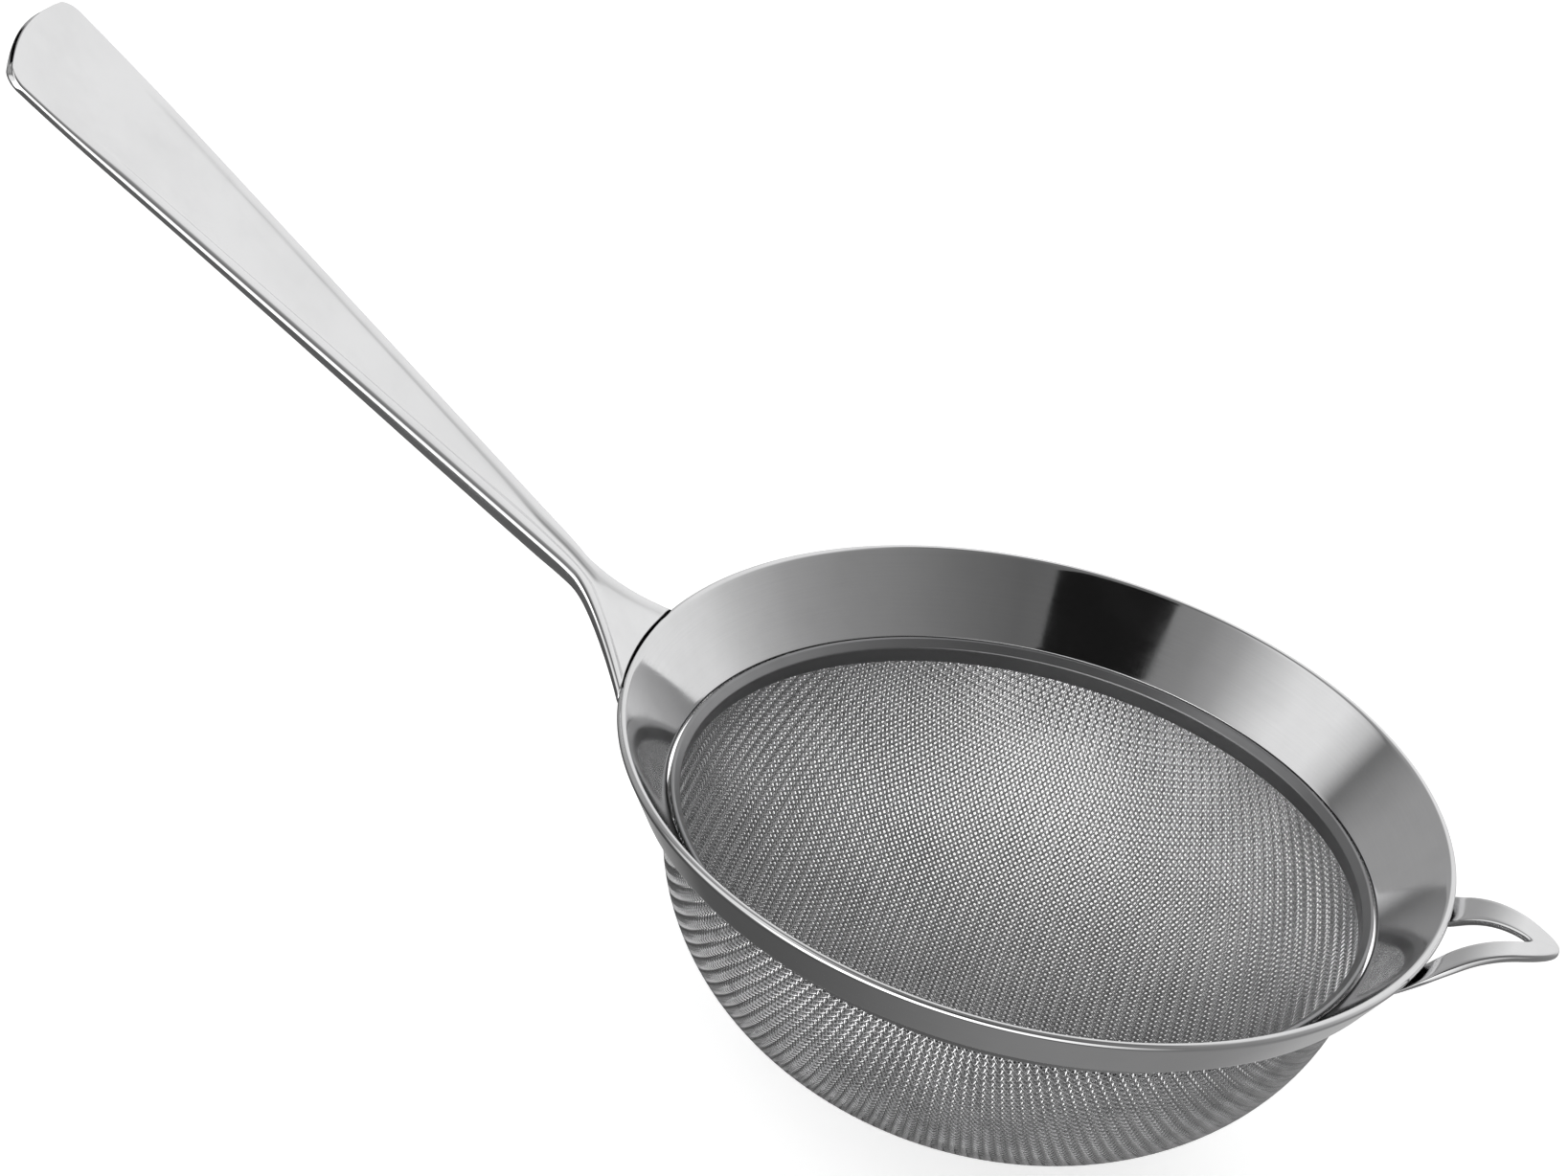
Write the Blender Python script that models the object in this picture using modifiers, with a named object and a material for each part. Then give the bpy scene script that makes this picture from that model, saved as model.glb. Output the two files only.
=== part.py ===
"""Tea strainer in polished stainless steel, modelled piece by piece.

A funnel-shaped rim is hemmed back over its own lip. A deep bowl of fine wire cloth hangs inside the
rim's collar and is clamped there by an inner ring. A forged, tapering handle and a flat stamped rest
hook are welded under the lip, opposite each other.

Axes: +Z is up along the bowl, the handle runs towards -X and the hook towards +X.
Origin: the centre of the rolled lip, where the strainer sits on a cup. Units are metres.
"""

import math

import bmesh
import bpy

MM = 0.001

# Rim: one spun sheet, a funnel inside and a short hem folded back outside.
LIP_OUTER_RADIUS = 40.0 * MM
LIP_BEAD_RADIUS = 0.45 * MM
RIM_SHEET = 0.4 * MM
FUNNEL_DEPTH = 6.05 * MM
FUNNEL_STEP_IN = 6.1 * MM
HEM_DEPTH = 4.5 * MM
HEM_STEP_IN = 2.7 * MM
COLLAR_DEPTH = 0.8 * MM

# Wire-cloth bowl and the ring that clamps its edge inside the collar.
CLOTH_THICKNESS = 0.35 * MM
CLOTH_TOP_DROP = 0.4 * MM
BOWL_COLLAR_HEIGHT = 0.5 * MM
BOWL_DOME_DEPTH = 25.3 * MM
BOWL_ROUNDNESS = 2.1
RING_SHEET = 0.35 * MM
RING_HEIGHT = 2.2 * MM
RING_FLARE_HEIGHT = 0.6 * MM

# Handle: a flat tapering bar with raised borders, a narrow neck and a fishtail root.
HANDLE_LENGTH = 72.6 * MM
HANDLE_LIFT = math.radians(29.3)
NECK_THICKNESS = 1.5 * MM
TAIL_THICKNESS = 1.0 * MM
ROOT_THICKNESS = 1.1 * MM
TAIL_HALF_WIDTH = 6.4 * MM
TAIL_ROUNDING = 2.2 * MM
TAIL_BULGE = 1.2 * MM
NECK_HALF_WIDTH = 2.0 * MM
NECK_CLEAR_OF_LIP = 7.0 * MM
NECK_BEND_RADIUS = 26.0 * MM
ROOT_SLOPE = math.radians(40.5)
ROOT_FLARE = 5.4 * MM
ROOT_RISE = 0.5 * MM
TAPER_LENGTH = 66.0 * MM
BORDER_WIDTH = 1.9 * MM
BORDER_RISE = 0.28 * MM
PANEL_SINK = 0.22 * MM
PANEL_CLEAR_OF_TAIL = 6.0 * MM
PANEL_FADE = 12.0 * MM
HANDLE_EDGE_ROUND = 0.25 * MM

# Rest hook: a stamped loop whose spreading legs dip down to the rim.
HOOK_REACH = 10.7 * MM
HOOK_SLOT_REACH = 7.85 * MM
HOOK_HALF_WIDTH = 8.4 * MM
HOOK_SLOT_HALF_WIDTH = 3.8 * MM
HOOK_THICKNESS = 0.8 * MM
HOOK_TIP_RISE = 3.05 * MM
HOOK_FLAT_LENGTH = 3.2 * MM
HOOK_BEND_RADIUS = 10.0 * MM
HOOK_SLOPE = math.radians(43.0)

# Clearances and resolution.
FIT_GAP = 0.3 * MM
TURN_STEPS = 72
MERGE = 0.00001
LIP_ARC_STEPS = 8
DOME_RINGS = 15
DOME_POLE_RADIUS = 2.5 * MM

# Sizes that follow from the ones above.
LIP_RADIUS = LIP_OUTER_RADIUS - LIP_BEAD_RADIUS
FUNNEL_FOOT_RADIUS = LIP_OUTER_RADIUS - FUNNEL_STEP_IN
HEM_FOOT_RADIUS = LIP_OUTER_RADIUS - HEM_STEP_IN
CLOTH_RADIUS = FUNNEL_FOOT_RADIUS - FIT_GAP
CLOTH_TOP_Z = -FUNNEL_DEPTH - CLOTH_TOP_DROP
DOME_START_Z = CLOTH_TOP_Z - BOWL_COLLAR_HEIGHT
RING_OUTER_RADIUS = CLOTH_RADIUS - CLOTH_THICKNESS - FIT_GAP
RING_TOP_Z = CLOTH_TOP_Z + FIT_GAP + RING_SHEET * 0.75
HOOK_TIP_X = LIP_OUTER_RADIUS + HOOK_REACH
HOOK_SLOT_X = LIP_OUTER_RADIUS + HOOK_SLOT_REACH


def clear_scene():
    """Remove every object and the collections left by an earlier run."""
    for obj in list(bpy.data.objects):
        bpy.data.objects.remove(obj, do_unlink=True)
    for collection in list(bpy.data.collections):
        bpy.data.collections.remove(collection)


def make_collection(name):
    collection = bpy.data.collections.new(name)
    bpy.context.scene.collection.children.link(collection)
    return collection


def make_material(name, colour, roughness, metallic=1.0):
    """Principled material of one metal finish."""
    material = bpy.data.materials.new(name)
    material.use_nodes = True
    material.diffuse_color = (*colour, 1.0)
    shader = material.node_tree.nodes["Principled BSDF"]
    shader.inputs["Base Color"].default_value = (*colour, 1.0)
    shader.inputs["Roughness"].default_value = roughness
    shader.inputs["Metallic"].default_value = metallic
    return material


def add_object(name, mesh, collection, material=None):
    obj = bpy.data.objects.new(name, mesh)
    collection.objects.link(obj)
    if material is not None:
        mesh.materials.append(material)
    return obj


def unit(vector):
    length = math.hypot(*vector)
    return (vector[0] / length, vector[1] / length)


def lerp(start, end, t):
    return start + (end - start) * t


def smoothstep(t):
    t = min(1.0, max(0.0, t))
    return t * t * (3.0 - 2.0 * t)


def soft_min(a, b, blend):
    """The smaller of two values, rounded where they cross."""
    h = max(0.0, blend - abs(a - b)) / blend
    return min(a, b) - h * h * blend * 0.25


def bezier(points, t):
    """Point on a cubic Bezier curve in the plane."""
    s = 1.0 - t
    weights = (s * s * s, 3.0 * s * s * t, 3.0 * s * t * t, t * t * t)
    x = sum(w * p[0] for w, p in zip(weights, points))
    y = sum(w * p[1] for w, p in zip(weights, points))
    return x, y


# --- Turned pieces -----------------------------------------------------------------------------


def turn_profile(name, points, closed, collection, material):
    """Turn a profile in the XZ plane once round Z with a Screw modifier."""
    mesh = bpy.data.meshes.new(name)
    edges = [(i, i + 1) for i in range(len(points) - 1)]
    if closed:
        edges.append((len(points) - 1, 0))
    mesh.from_pydata([(r, 0.0, z) for r, z in points], edges, [])
    obj = add_object(name, mesh, collection, material)
    screw = obj.modifiers.new("Turn", "SCREW")
    screw.axis = "Z"
    screw.angle = 2.0 * math.pi
    screw.steps = TURN_STEPS
    screw.render_steps = TURN_STEPS
    screw.use_merge_vertices = True
    screw.merge_threshold = MERGE
    screw.use_smooth_shade = True
    return obj


def tangent_point(foot, radius, inner):
    """Where a line from the foot touches the lip's bead, on its inner or its outer side."""
    dr = LIP_RADIUS - foot[0]
    dz = 0.0 - foot[1]
    distance = math.hypot(dr, dz)
    reach = math.sqrt(distance * distance - radius * radius)
    turn = math.asin(radius / distance) * (1.0 if inner else -1.0)
    angle = math.atan2(dz, dr) + turn
    return foot[0] + reach * math.cos(angle), foot[1] + reach * math.sin(angle)


def side_of(start, end, offset):
    """Both ends of a line moved sideways, to the left of its direction, by the offset."""
    dr, dz = unit((end[0] - start[0], end[1] - start[1]))
    shift = (-dz * offset, dr * offset)
    moved_start = (start[0] + shift[0], start[1] + shift[1])
    moved_end = (end[0] + shift[0], end[1] + shift[1])
    return moved_start, moved_end


def crossing(a, b, c, d):
    """Where line a-b meets line c-d."""
    r1, z1 = b[0] - a[0], b[1] - a[1]
    r2, z2 = d[0] - c[0], d[1] - c[1]
    t = ((c[0] - a[0]) * z2 - (c[1] - a[1]) * r2) / (r1 * z2 - z1 * r2)
    return a[0] + r1 * t, a[1] + z1 * t


def lip_arc(start, end):
    """Points over the top of the bead, from its inner tangent point to its outer one."""
    first = math.atan2(start[1], start[0] - LIP_RADIUS)
    last = math.atan2(end[1], end[0] - LIP_RADIUS)
    points = []
    for i in range(LIP_ARC_STEPS + 1):
        angle = lerp(first, last, i / LIP_ARC_STEPS)
        r = LIP_RADIUS + LIP_BEAD_RADIUS * math.cos(angle)
        points.append((r, LIP_BEAD_RADIUS * math.sin(angle)))
    return points


def rim_profile():
    """Closed outline of the funnel, its lip, the folded hem and the collar under the funnel.

    The narrow pocket between hem and funnel ends under the bead.
    """
    foot = (FUNNEL_FOOT_RADIUS, -FUNNEL_DEPTH)
    hem_foot = (HEM_FOOT_RADIUS, -HEM_DEPTH)
    inner_touch = tangent_point(foot, LIP_BEAD_RADIUS, True)
    outer_touch = tangent_point(hem_foot, LIP_BEAD_RADIUS, False)
    back_foot, back_top = side_of(foot, inner_touch, -RIM_SHEET)
    hem_in_top, hem_in_foot = side_of(outer_touch, hem_foot, -RIM_SHEET)
    fold = -LIP_BEAD_RADIUS
    fold_hem = crossing(hem_in_top, hem_in_foot, (0.0, fold), (LIP_RADIUS, fold))
    fold_back = crossing(back_foot, back_top, (0.0, fold), (LIP_RADIUS, fold))
    collar_outer = FUNNEL_FOOT_RADIUS + RIM_SHEET
    collar_foot_z = -FUNNEL_DEPTH - COLLAR_DEPTH
    knee = crossing(back_foot, back_top, (collar_outer, 0.0), (collar_outer, -1.0))
    outline = lip_arc(inner_touch, outer_touch)
    outline += [hem_foot, hem_in_foot, fold_hem, fold_back, knee]
    outline += [(collar_outer, collar_foot_z), (FUNNEL_FOOT_RADIUS, collar_foot_z), foot]
    return outline


def ring_profile():
    """Closed outline of the clamp ring: a short band whose top flares over the cloth's edge."""
    outer = RING_OUTER_RADIUS
    inner = outer - RING_SHEET
    flare_r = CLOTH_RADIUS
    top = RING_TOP_Z
    foot = top - RING_HEIGHT
    return [
        (flare_r, top),
        (flare_r, top - RING_SHEET * 0.75),
        (outer, CLOTH_TOP_Z),
        (outer, foot),
        (inner, foot),
        (inner, top - RING_FLARE_HEIGHT),
        (flare_r - RING_SHEET * 0.9, top),
    ]


def dome_point(angle):
    """Point on the bowl's outer curve, from its widest ring (0) to its lowest point (a right angle)."""
    power = 2.0 / BOWL_ROUNDNESS
    r = CLOTH_RADIUS * math.cos(angle) ** power
    z = DOME_START_Z - BOWL_DOME_DEPTH * math.sin(angle) ** power
    return r, z


def bowl_profile():
    """Open outline of the cloth's outer face, from its clamped edge down to the axis."""
    last = math.acos((DOME_POLE_RADIUS / CLOTH_RADIUS) ** (BOWL_ROUNDNESS / 2.0))
    points = [(CLOTH_RADIUS, CLOTH_TOP_Z)]
    for i in range(DOME_RINGS):
        points.append(dome_point(last * i / (DOME_RINGS - 1)))
    points.append((0.0, DOME_START_Z - BOWL_DOME_DEPTH))
    return points


def make_bowl(collection, material):
    """Shell of the woven bowl: the turned outer face thickened inwards."""
    obj = turn_profile("mesh_bowl", bowl_profile(), False, collection, material)
    shell = obj.modifiers.new("Cloth", "SOLIDIFY")
    shell.thickness = CLOTH_THICKNESS
    shell.offset = -1.0
    shell.use_even_offset = True
    return obj


def make_rim_cutter(collection):
    """Turned plug of the rim's outside plus the fit gap, which trims what is welded to the rim."""
    lip = LIP_OUTER_RADIUS + FIT_GAP
    bead = LIP_BEAD_RADIUS + FIT_GAP
    slant = unit((HEM_STEP_IN - LIP_BEAD_RADIUS, HEM_DEPTH))
    touch = (LIP_RADIUS + bead * slant[1], -bead * slant[0])
    foot = (HEM_FOOT_RADIUS + FIT_GAP * slant[1], -HEM_DEPTH - FIT_GAP)
    deep = -3.0 * HEM_DEPTH
    high = 3.0 * HEM_DEPTH
    points = [(0.0, high), (lip, high), (lip, 0.0), touch, foot, (foot[0], deep), (0.0, deep)]
    cutter = turn_profile("rim_cutter", points, False, collection, None)
    cutter.hide_render = True
    cutter.display_type = "WIRE"
    return cutter


# --- Lofted pieces -----------------------------------------------------------------------------


def loft_mesh(name, rows):
    """Mesh of quads between neighbouring rows of points, facing up."""
    mesh = bpy.data.meshes.new(name)
    bm = bmesh.new()
    grid = [[bm.verts.new(point) for point in row] for row in rows]
    for first, second in zip(grid, grid[1:]):
        for j in range(len(first) - 1):
            bm.faces.new((first[j], second[j], second[j + 1], first[j + 1]))
    bmesh.ops.recalc_face_normals(bm, faces=bm.faces)
    if sum(face.normal.z for face in bm.faces) < 0.0:
        bmesh.ops.reverse_faces(bm, faces=bm.faces)
    bm.to_mesh(mesh)
    bm.free()
    mesh.shade_smooth()
    return mesh


def thin_rows(obj, thicknesses, per_row):
    """Give each row of the loft its own share of the plate's thickness, as a vertex group."""
    group = obj.vertex_groups.new(name="thickness")
    thickest = max(thicknesses)
    for i, thickness in enumerate(thicknesses):
        row = range(i * per_row, (i + 1) * per_row)
        group.add(list(row), thickness / thickest, "REPLACE")
    return group


def finish_plate(obj, thickness, edge_round, cutter, group=None):
    """Mirror the half across the XZ plane, thicken it downwards, round it and trim it to the rim."""
    mirror = obj.modifiers.new("Halves", "MIRROR")
    mirror.use_axis = (False, True, False)
    mirror.use_clip = True
    mirror.merge_threshold = MERGE
    plate = obj.modifiers.new("Plate", "SOLIDIFY")
    plate.thickness = thickness
    plate.offset = -1.0
    if group is not None:
        plate.vertex_group = group.name
    if edge_round > 0.0:
        bevel = obj.modifiers.new("Rounding", "BEVEL")
        bevel.width = edge_round
        bevel.segments = 2
        bevel.limit_method = "ANGLE"
        bevel.angle_limit = math.radians(58.0)
    trim = obj.modifiers.new("Trim", "BOOLEAN")
    trim.operation = "DIFFERENCE"
    trim.solver = "EXACT"
    trim.object = cutter


def handle_path(reach):
    """Top centre line (x, z) at a distance along it from the neck, negative towards the rim.

    It is a straight root and a straight handle, joined by an arc at the neck.
    """
    bend = ROOT_SLOPE - HANDLE_LIFT
    tangent = NECK_BEND_RADIUS * math.tan(bend / 2.0)
    corner_x = LIP_OUTER_RADIUS + NECK_CLEAR_OF_LIP
    corner_z = (corner_x - LIP_RADIUS) * math.tan(ROOT_SLOPE) + ROOT_RISE
    start_x = corner_x - tangent * math.cos(ROOT_SLOPE)
    start_z = corner_z - tangent * math.sin(ROOT_SLOPE)
    arc_length = NECK_BEND_RADIUS * bend
    along = reach + arc_length / 2.0
    if along <= 0.0:
        return -(start_x + along * math.cos(ROOT_SLOPE)), start_z + along * math.sin(ROOT_SLOPE)
    turned = min(along, arc_length) / NECK_BEND_RADIUS
    x = start_x + NECK_BEND_RADIUS * (math.sin(ROOT_SLOPE) - math.sin(ROOT_SLOPE - turned))
    z = start_z + NECK_BEND_RADIUS * (math.cos(ROOT_SLOPE - turned) - math.cos(ROOT_SLOPE))
    rest = max(0.0, along - arc_length)
    return -(x + rest * math.cos(HANDLE_LIFT)), z + rest * math.sin(HANDLE_LIFT)


def root_length():
    """Distance along the root from the neck to just under the lip's outer edge."""
    return NECK_CLEAR_OF_LIP / math.cos(ROOT_SLOPE)


def handle_half_width(reach):
    """Half width of the outline at a distance from the neck, negative towards the rim."""
    if reach < 0.0:
        spread = min(-reach / root_length(), 1.12)
        return NECK_HALF_WIDTH + ROOT_FLARE * spread**1.5
    slope = (TAIL_HALF_WIDTH - NECK_HALF_WIDTH) / min(TAPER_LENGTH, HANDLE_LENGTH)
    width = soft_min(NECK_HALF_WIDTH + slope * reach, TAIL_HALF_WIDTH, 0.1 * TAIL_HALF_WIDTH)
    from_corner = reach - (HANDLE_LENGTH - TAIL_BULGE - TAIL_ROUNDING)
    if from_corner > 0.0:
        drop = math.sqrt(max(0.0, TAIL_ROUNDING**2 - from_corner**2))
        width -= TAIL_ROUNDING - drop
    return width


def handle_relief(reach, half, y):
    """Height of the raised border and the shallow panel between the borders."""
    border = min(BORDER_WIDTH, 0.75 * half)
    from_edge = half - y
    to_tail = HANDLE_LENGTH - reach - PANEL_CLEAR_OF_TAIL
    strength = smoothstep(to_tail / PANEL_FADE) * min(1.0, half / (2.0 * BORDER_WIDTH) + 0.35)
    if from_edge < border:
        return strength * BORDER_RISE * math.sin(math.pi * from_edge / border)
    across = y / (half - border)
    return -strength * PANEL_SINK * (1.0 - across * across)


def handle_columns(half):
    """Distances from the centre line at which the half section has points."""
    border = min(BORDER_WIDTH, 0.75 * half)
    shares = (0.0, 0.25, 0.5, 0.75, 1.0)
    columns = [half - border * share for share in shares]
    inner = half - border
    return columns + [inner * 0.66, inner * 0.33, 0.0]


def handle_stations():
    """Distances from the neck of the handle's sections, closer together at the root and the tail."""
    root = -root_length() * 1.45
    stations = [root * (1.0 - i / 9) for i in range(9)]
    body_end = HANDLE_LENGTH - TAIL_BULGE - TAIL_ROUNDING
    stations += [body_end * i / 18 for i in range(19)]
    rounding = [TAIL_ROUNDING * math.sin(math.radians(a)) for a in (15, 30, 45, 58)]
    return stations + [body_end + step for step in rounding]


def handle_section(reach):
    """Half section, edge to centre line; the last ones bulge towards the tail's rounded end."""
    half = handle_half_width(reach)
    body_end = HANDLE_LENGTH - TAIL_BULGE - TAIL_ROUNDING
    row = []
    for y in handle_columns(half):
        bulge = TAIL_BULGE * max(0.0, min(1.0, (reach - 0.9 * body_end) / (0.1 * body_end)))
        along = reach + bulge * (1.0 - (y / half) ** 2)
        x, z = handle_path(along)
        row.append((x, y, z + handle_relief(along, half, y)))
    return row


def handle_thickness(reach):
    """Plate thickness at a distance from the neck: forged thickest at the neck."""
    if reach < 0.0:
        return lerp(NECK_THICKNESS, ROOT_THICKNESS, min(1.0, -reach / root_length()))
    return lerp(NECK_THICKNESS, TAIL_THICKNESS, smoothstep(1.4 * reach / HANDLE_LENGTH))


def make_handle(collection, material, cutter):
    stations = handle_stations()
    rows = [handle_section(reach) for reach in stations]
    obj = add_object("handle", loft_mesh("handle", rows), collection, material)
    thicknesses = [handle_thickness(reach) for reach in stations]
    group = thin_rows(obj, thicknesses, len(rows[0]))
    finish_plate(obj, max(thicknesses), HANDLE_EDGE_ROUND, cutter, group)
    return obj


def hook_height(x):
    """Top height of the hook: flat at the tip, then an arc and a straight slope down to the rim."""
    inward = (HOOK_TIP_X - HOOK_FLAT_LENGTH) - x
    if inward <= 0.0:
        return HOOK_TIP_RISE
    arc = HOOK_BEND_RADIUS * math.sin(HOOK_SLOPE)
    if inward < arc:
        return HOOK_TIP_RISE - HOOK_BEND_RADIUS + math.sqrt(HOOK_BEND_RADIUS**2 - inward**2)
    drop = HOOK_BEND_RADIUS * (1.0 - math.cos(HOOK_SLOPE))
    return HOOK_TIP_RISE - drop - (inward - arc) * math.tan(HOOK_SLOPE)


def hook_edge(tip_x, half_width, end_share, t):
    """Point on a leg's edge, from inside the rim (0) to the centre of the tip (1)."""
    start = LIP_OUTER_RADIUS - 2.5 * LIP_BEAD_RADIUS
    span = tip_x - start
    points = (
        (start, half_width * 1.12),
        (start + span * 0.38, half_width * 0.56),
        (tip_x, half_width * end_share),
        (tip_x, 0.0),
    )
    return bezier(points, t)


def make_hook(collection, material, cutter):
    rows = []
    count = 22
    for i in range(count + 1):
        t = i / count
        outer = hook_edge(HOOK_TIP_X, HOOK_HALF_WIDTH, 0.31, t)
        inner = hook_edge(HOOK_SLOT_X, HOOK_SLOT_HALF_WIDTH, 0.19, t)
        row = []
        for share in (0.0, 1.0 / 3.0, 2.0 / 3.0, 1.0):
            x = lerp(outer[0], inner[0], share)
            row.append((x, lerp(outer[1], inner[1], share), hook_height(x)))
        rows.append(row)
    obj = add_object("rest_hook", loft_mesh("rest_hook", rows), collection, material)
    finish_plate(obj, HOOK_THICKNESS, 0.0, cutter)
    return obj


def build():
    clear_scene()
    parts = make_collection("tea_strainer")
    cutters = make_collection("tea_strainer_cutters")
    polished = (0.78, 0.78, 0.79)
    rim_steel = make_material("rim_steel", polished, 0.08)
    ring_steel = make_material("ring_steel", (0.66, 0.66, 0.67), 0.14)
    wire_steel = make_material("wire_steel", (0.60, 0.60, 0.61), 0.25)
    handle_steel = make_material("handle_steel", (0.82, 0.82, 0.83), 0.18)
    hook_steel = make_material("hook_steel", (0.80, 0.80, 0.81), 0.22)
    cutter = make_rim_cutter(cutters)
    turn_profile("rim_flange", rim_profile(), True, parts, rim_steel)
    turn_profile("clamp_ring", ring_profile(), True, parts, ring_steel)
    make_bowl(parts, wire_steel)
    make_handle(parts, handle_steel, cutter)
    make_hook(parts, hook_steel, cutter)


build()
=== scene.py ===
"""Tea strainer in polished stainless steel: finished surfaces, a woven wire bowl and a plain studio.

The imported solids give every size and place. Units are metres, +Z is up along the bowl, the handle runs
towards -X and the rest hook towards +X. Each piece is one operator, and a panel in the sidebar lists them.
"""

import math

import bpy
import numpy as np
from mathutils import Matrix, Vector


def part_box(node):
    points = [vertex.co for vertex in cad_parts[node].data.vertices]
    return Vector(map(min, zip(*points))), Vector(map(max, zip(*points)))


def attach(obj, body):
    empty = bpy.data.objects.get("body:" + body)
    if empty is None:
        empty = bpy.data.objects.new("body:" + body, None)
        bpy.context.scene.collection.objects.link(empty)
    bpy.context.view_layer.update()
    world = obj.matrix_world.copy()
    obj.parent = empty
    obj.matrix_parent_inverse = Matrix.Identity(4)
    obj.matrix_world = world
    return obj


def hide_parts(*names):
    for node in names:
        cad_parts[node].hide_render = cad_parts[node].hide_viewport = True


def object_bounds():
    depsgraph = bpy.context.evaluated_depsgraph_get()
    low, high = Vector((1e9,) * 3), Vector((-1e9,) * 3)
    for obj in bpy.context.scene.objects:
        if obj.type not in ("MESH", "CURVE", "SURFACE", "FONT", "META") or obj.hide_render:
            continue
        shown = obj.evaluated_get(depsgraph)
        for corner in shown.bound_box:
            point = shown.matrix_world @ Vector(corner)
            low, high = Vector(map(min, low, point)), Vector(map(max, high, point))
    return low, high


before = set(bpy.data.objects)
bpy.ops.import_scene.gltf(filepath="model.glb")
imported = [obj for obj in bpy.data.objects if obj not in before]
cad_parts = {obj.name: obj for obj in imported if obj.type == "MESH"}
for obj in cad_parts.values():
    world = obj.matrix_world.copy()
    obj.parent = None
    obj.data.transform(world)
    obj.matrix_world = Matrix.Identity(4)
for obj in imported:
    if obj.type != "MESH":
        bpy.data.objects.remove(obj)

bl_info = {
    "name": "Tea Strainer",
    "version": (1, 0, 0),
    "blender": (4, 5, 0),
    "location": "View3D > Sidebar > Strainer",
    "description": "Builds a stainless steel tea strainer with a woven wire bowl",
    "category": "Add Mesh",
}

MM = 0.001
CAD_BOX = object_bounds()
RIM_LOW, RIM_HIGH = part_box("rim_flange")
RING_LOW, RING_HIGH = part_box("clamp_ring")
BOWL_LOW, BOWL_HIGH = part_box("mesh_bowl")
HANDLE_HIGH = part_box("handle")[1]
HOOK_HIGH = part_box("rest_hook")[1]
BODY = "root"


# --- Settings ----------------------------------------------------------------------------------


def length(name, default, description):
    return bpy.props.FloatProperty(
        name=name, default=default, description=description, unit="LENGTH", precision=5, min=0.0
    )


def angle(name, degrees, description):
    return bpy.props.FloatProperty(
        name=name, default=math.radians(degrees), description=description, subtype="ANGLE"
    )


def tone(name, default, description):
    return bpy.props.FloatVectorProperty(
        name=name, default=default, description=description, subtype="COLOR", size=3, min=0.0, max=1.0
    )


class StrainerRim(bpy.types.PropertyGroup):
    lip_radius: length("Lip Radius", RIM_HIGH.x, "Outside radius of the rolled lip")
    bead_radius: length("Bead Radius", RIM_HIGH.z, "Radius of the rolled lip's own round")
    sheet: length("Sheet", 0.4 * MM, "Thickness of the spun sheet")
    step_in: length("Funnel Step", 6.1 * MM, "How far the funnel's foot lies inside the lip")
    collar: length("Collar", 0.8 * MM, "Height of the collar turned down under the funnel")
    hem_step: length("Hem Step", 2.7 * MM, "How far the hem's foot lies inside the lip")
    hem_depth: length("Hem Depth", 4.5 * MM, "How far the folded hem reaches down")
    ring_sheet: length("Ring Sheet", 0.35 * MM, "Thickness of the clamp ring")
    ring_flare: length("Ring Flare", 0.6 * MM, "Height of the clamp ring's flared top")
    gap: length("Gap", 0.3 * MM, "Gap between the clamp ring, the cloth and the collar")


class StrainerCloth(bpy.types.PropertyGroup):
    pitch: length("Pitch", 0.447 * MM, "Distance from one wire to the next")
    wire: length("Wire", 0.195 * MM, "Diameter of the wire")
    crimp: length("Crimp", 0.077 * MM, "How far a wire swings to either side of the cloth's middle")
    collar: length("Collar", 0.5 * MM, "Height of the upright edge that the ring clamps")
    roundness: bpy.props.FloatProperty(
        name="Roundness", default=2.1, min=1.2, max=4.0, description="2 is an ellipse, more is fuller"
    )
    lay: angle("Lay", 49.8, "Direction of the first wires, from the hook")


class StrainerHandle(bpy.types.PropertyGroup):
    lift: angle("Lift", 29.3, "Slope of the handle")
    root_slope: angle("Root Slope", 40.5, "Slope of the root at the lip")
    reach: length("Length", 72.6 * MM, "Length from the neck to the tail")
    neck_clear: length("Neck Clearance", 7.0 * MM, "Distance from the lip to the neck")
    neck_bend: length("Neck Bend", 26.0 * MM, "Radius of the bend at the neck")
    neck_half: length("Neck Half Width", 2.0 * MM, "Half the neck's width")
    tail_half: length("Tail Half Width", HANDLE_HIGH.y, "Half the width near the tail")
    taper: length("Taper", 66.0 * MM, "Distance over which the handle widens")
    root_flare: length("Root Flare", 5.4 * MM, "How far each side of the root spreads")
    root_rise: length("Root Rise", 0.5 * MM, "Height of the root's top over the lip's centre")
    border: length("Border", 1.9 * MM, "Width of each raised border")
    border_rise: length("Border Rise", 0.28 * MM, "Height of each raised border")
    panel_sink: length("Panel Sink", 0.22 * MM, "Depth of the hollow between the borders")
    edge: length("Edge Round", 0.4 * MM, "Radius of the rounded edges")


class StrainerHook(bpy.types.PropertyGroup):
    slot_reach: length("Slot Reach", 7.85 * MM, "Distance from the lip to the slot's end")
    half: length("Half Width", 8.4 * MM, "Half the width at the rim")
    slot_half: length("Slot Half Width", 3.8 * MM, "Half the slot's width at the rim")
    thick: length("Thickness", 0.8 * MM, "Thickness of the plate")
    flat: length("Flat", 3.2 * MM, "Length of the flat tip")
    bend: length("Bend", 10.0 * MM, "Radius of the bend behind the flat tip")
    slope: angle("Slope", 43.0, "Slope of the legs down to the rim")
    edge: length("Edge Round", 0.28 * MM, "Radius of the rounded edges")


class StrainerFinish(bpy.types.PropertyGroup):
    mirror: tone("Mirror Steel", (0.74, 0.74, 0.745), "Colour of the polished sheet")
    # The ring's colour is darkened well below the other steel as painted shade for the dark band under the
    # funnel's foot.
    ring: tone("Ring Steel", (0.30, 0.30, 0.305), "Colour of the clamp ring")
    wire: tone("Wire Steel", (0.72, 0.72, 0.725), "Colour of the wire")
    handle: tone("Handle Steel", (0.80, 0.80, 0.805), "Colour of the handle")
    hook: tone("Hook Steel", (0.74, 0.74, 0.745), "Colour of the hook")


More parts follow.
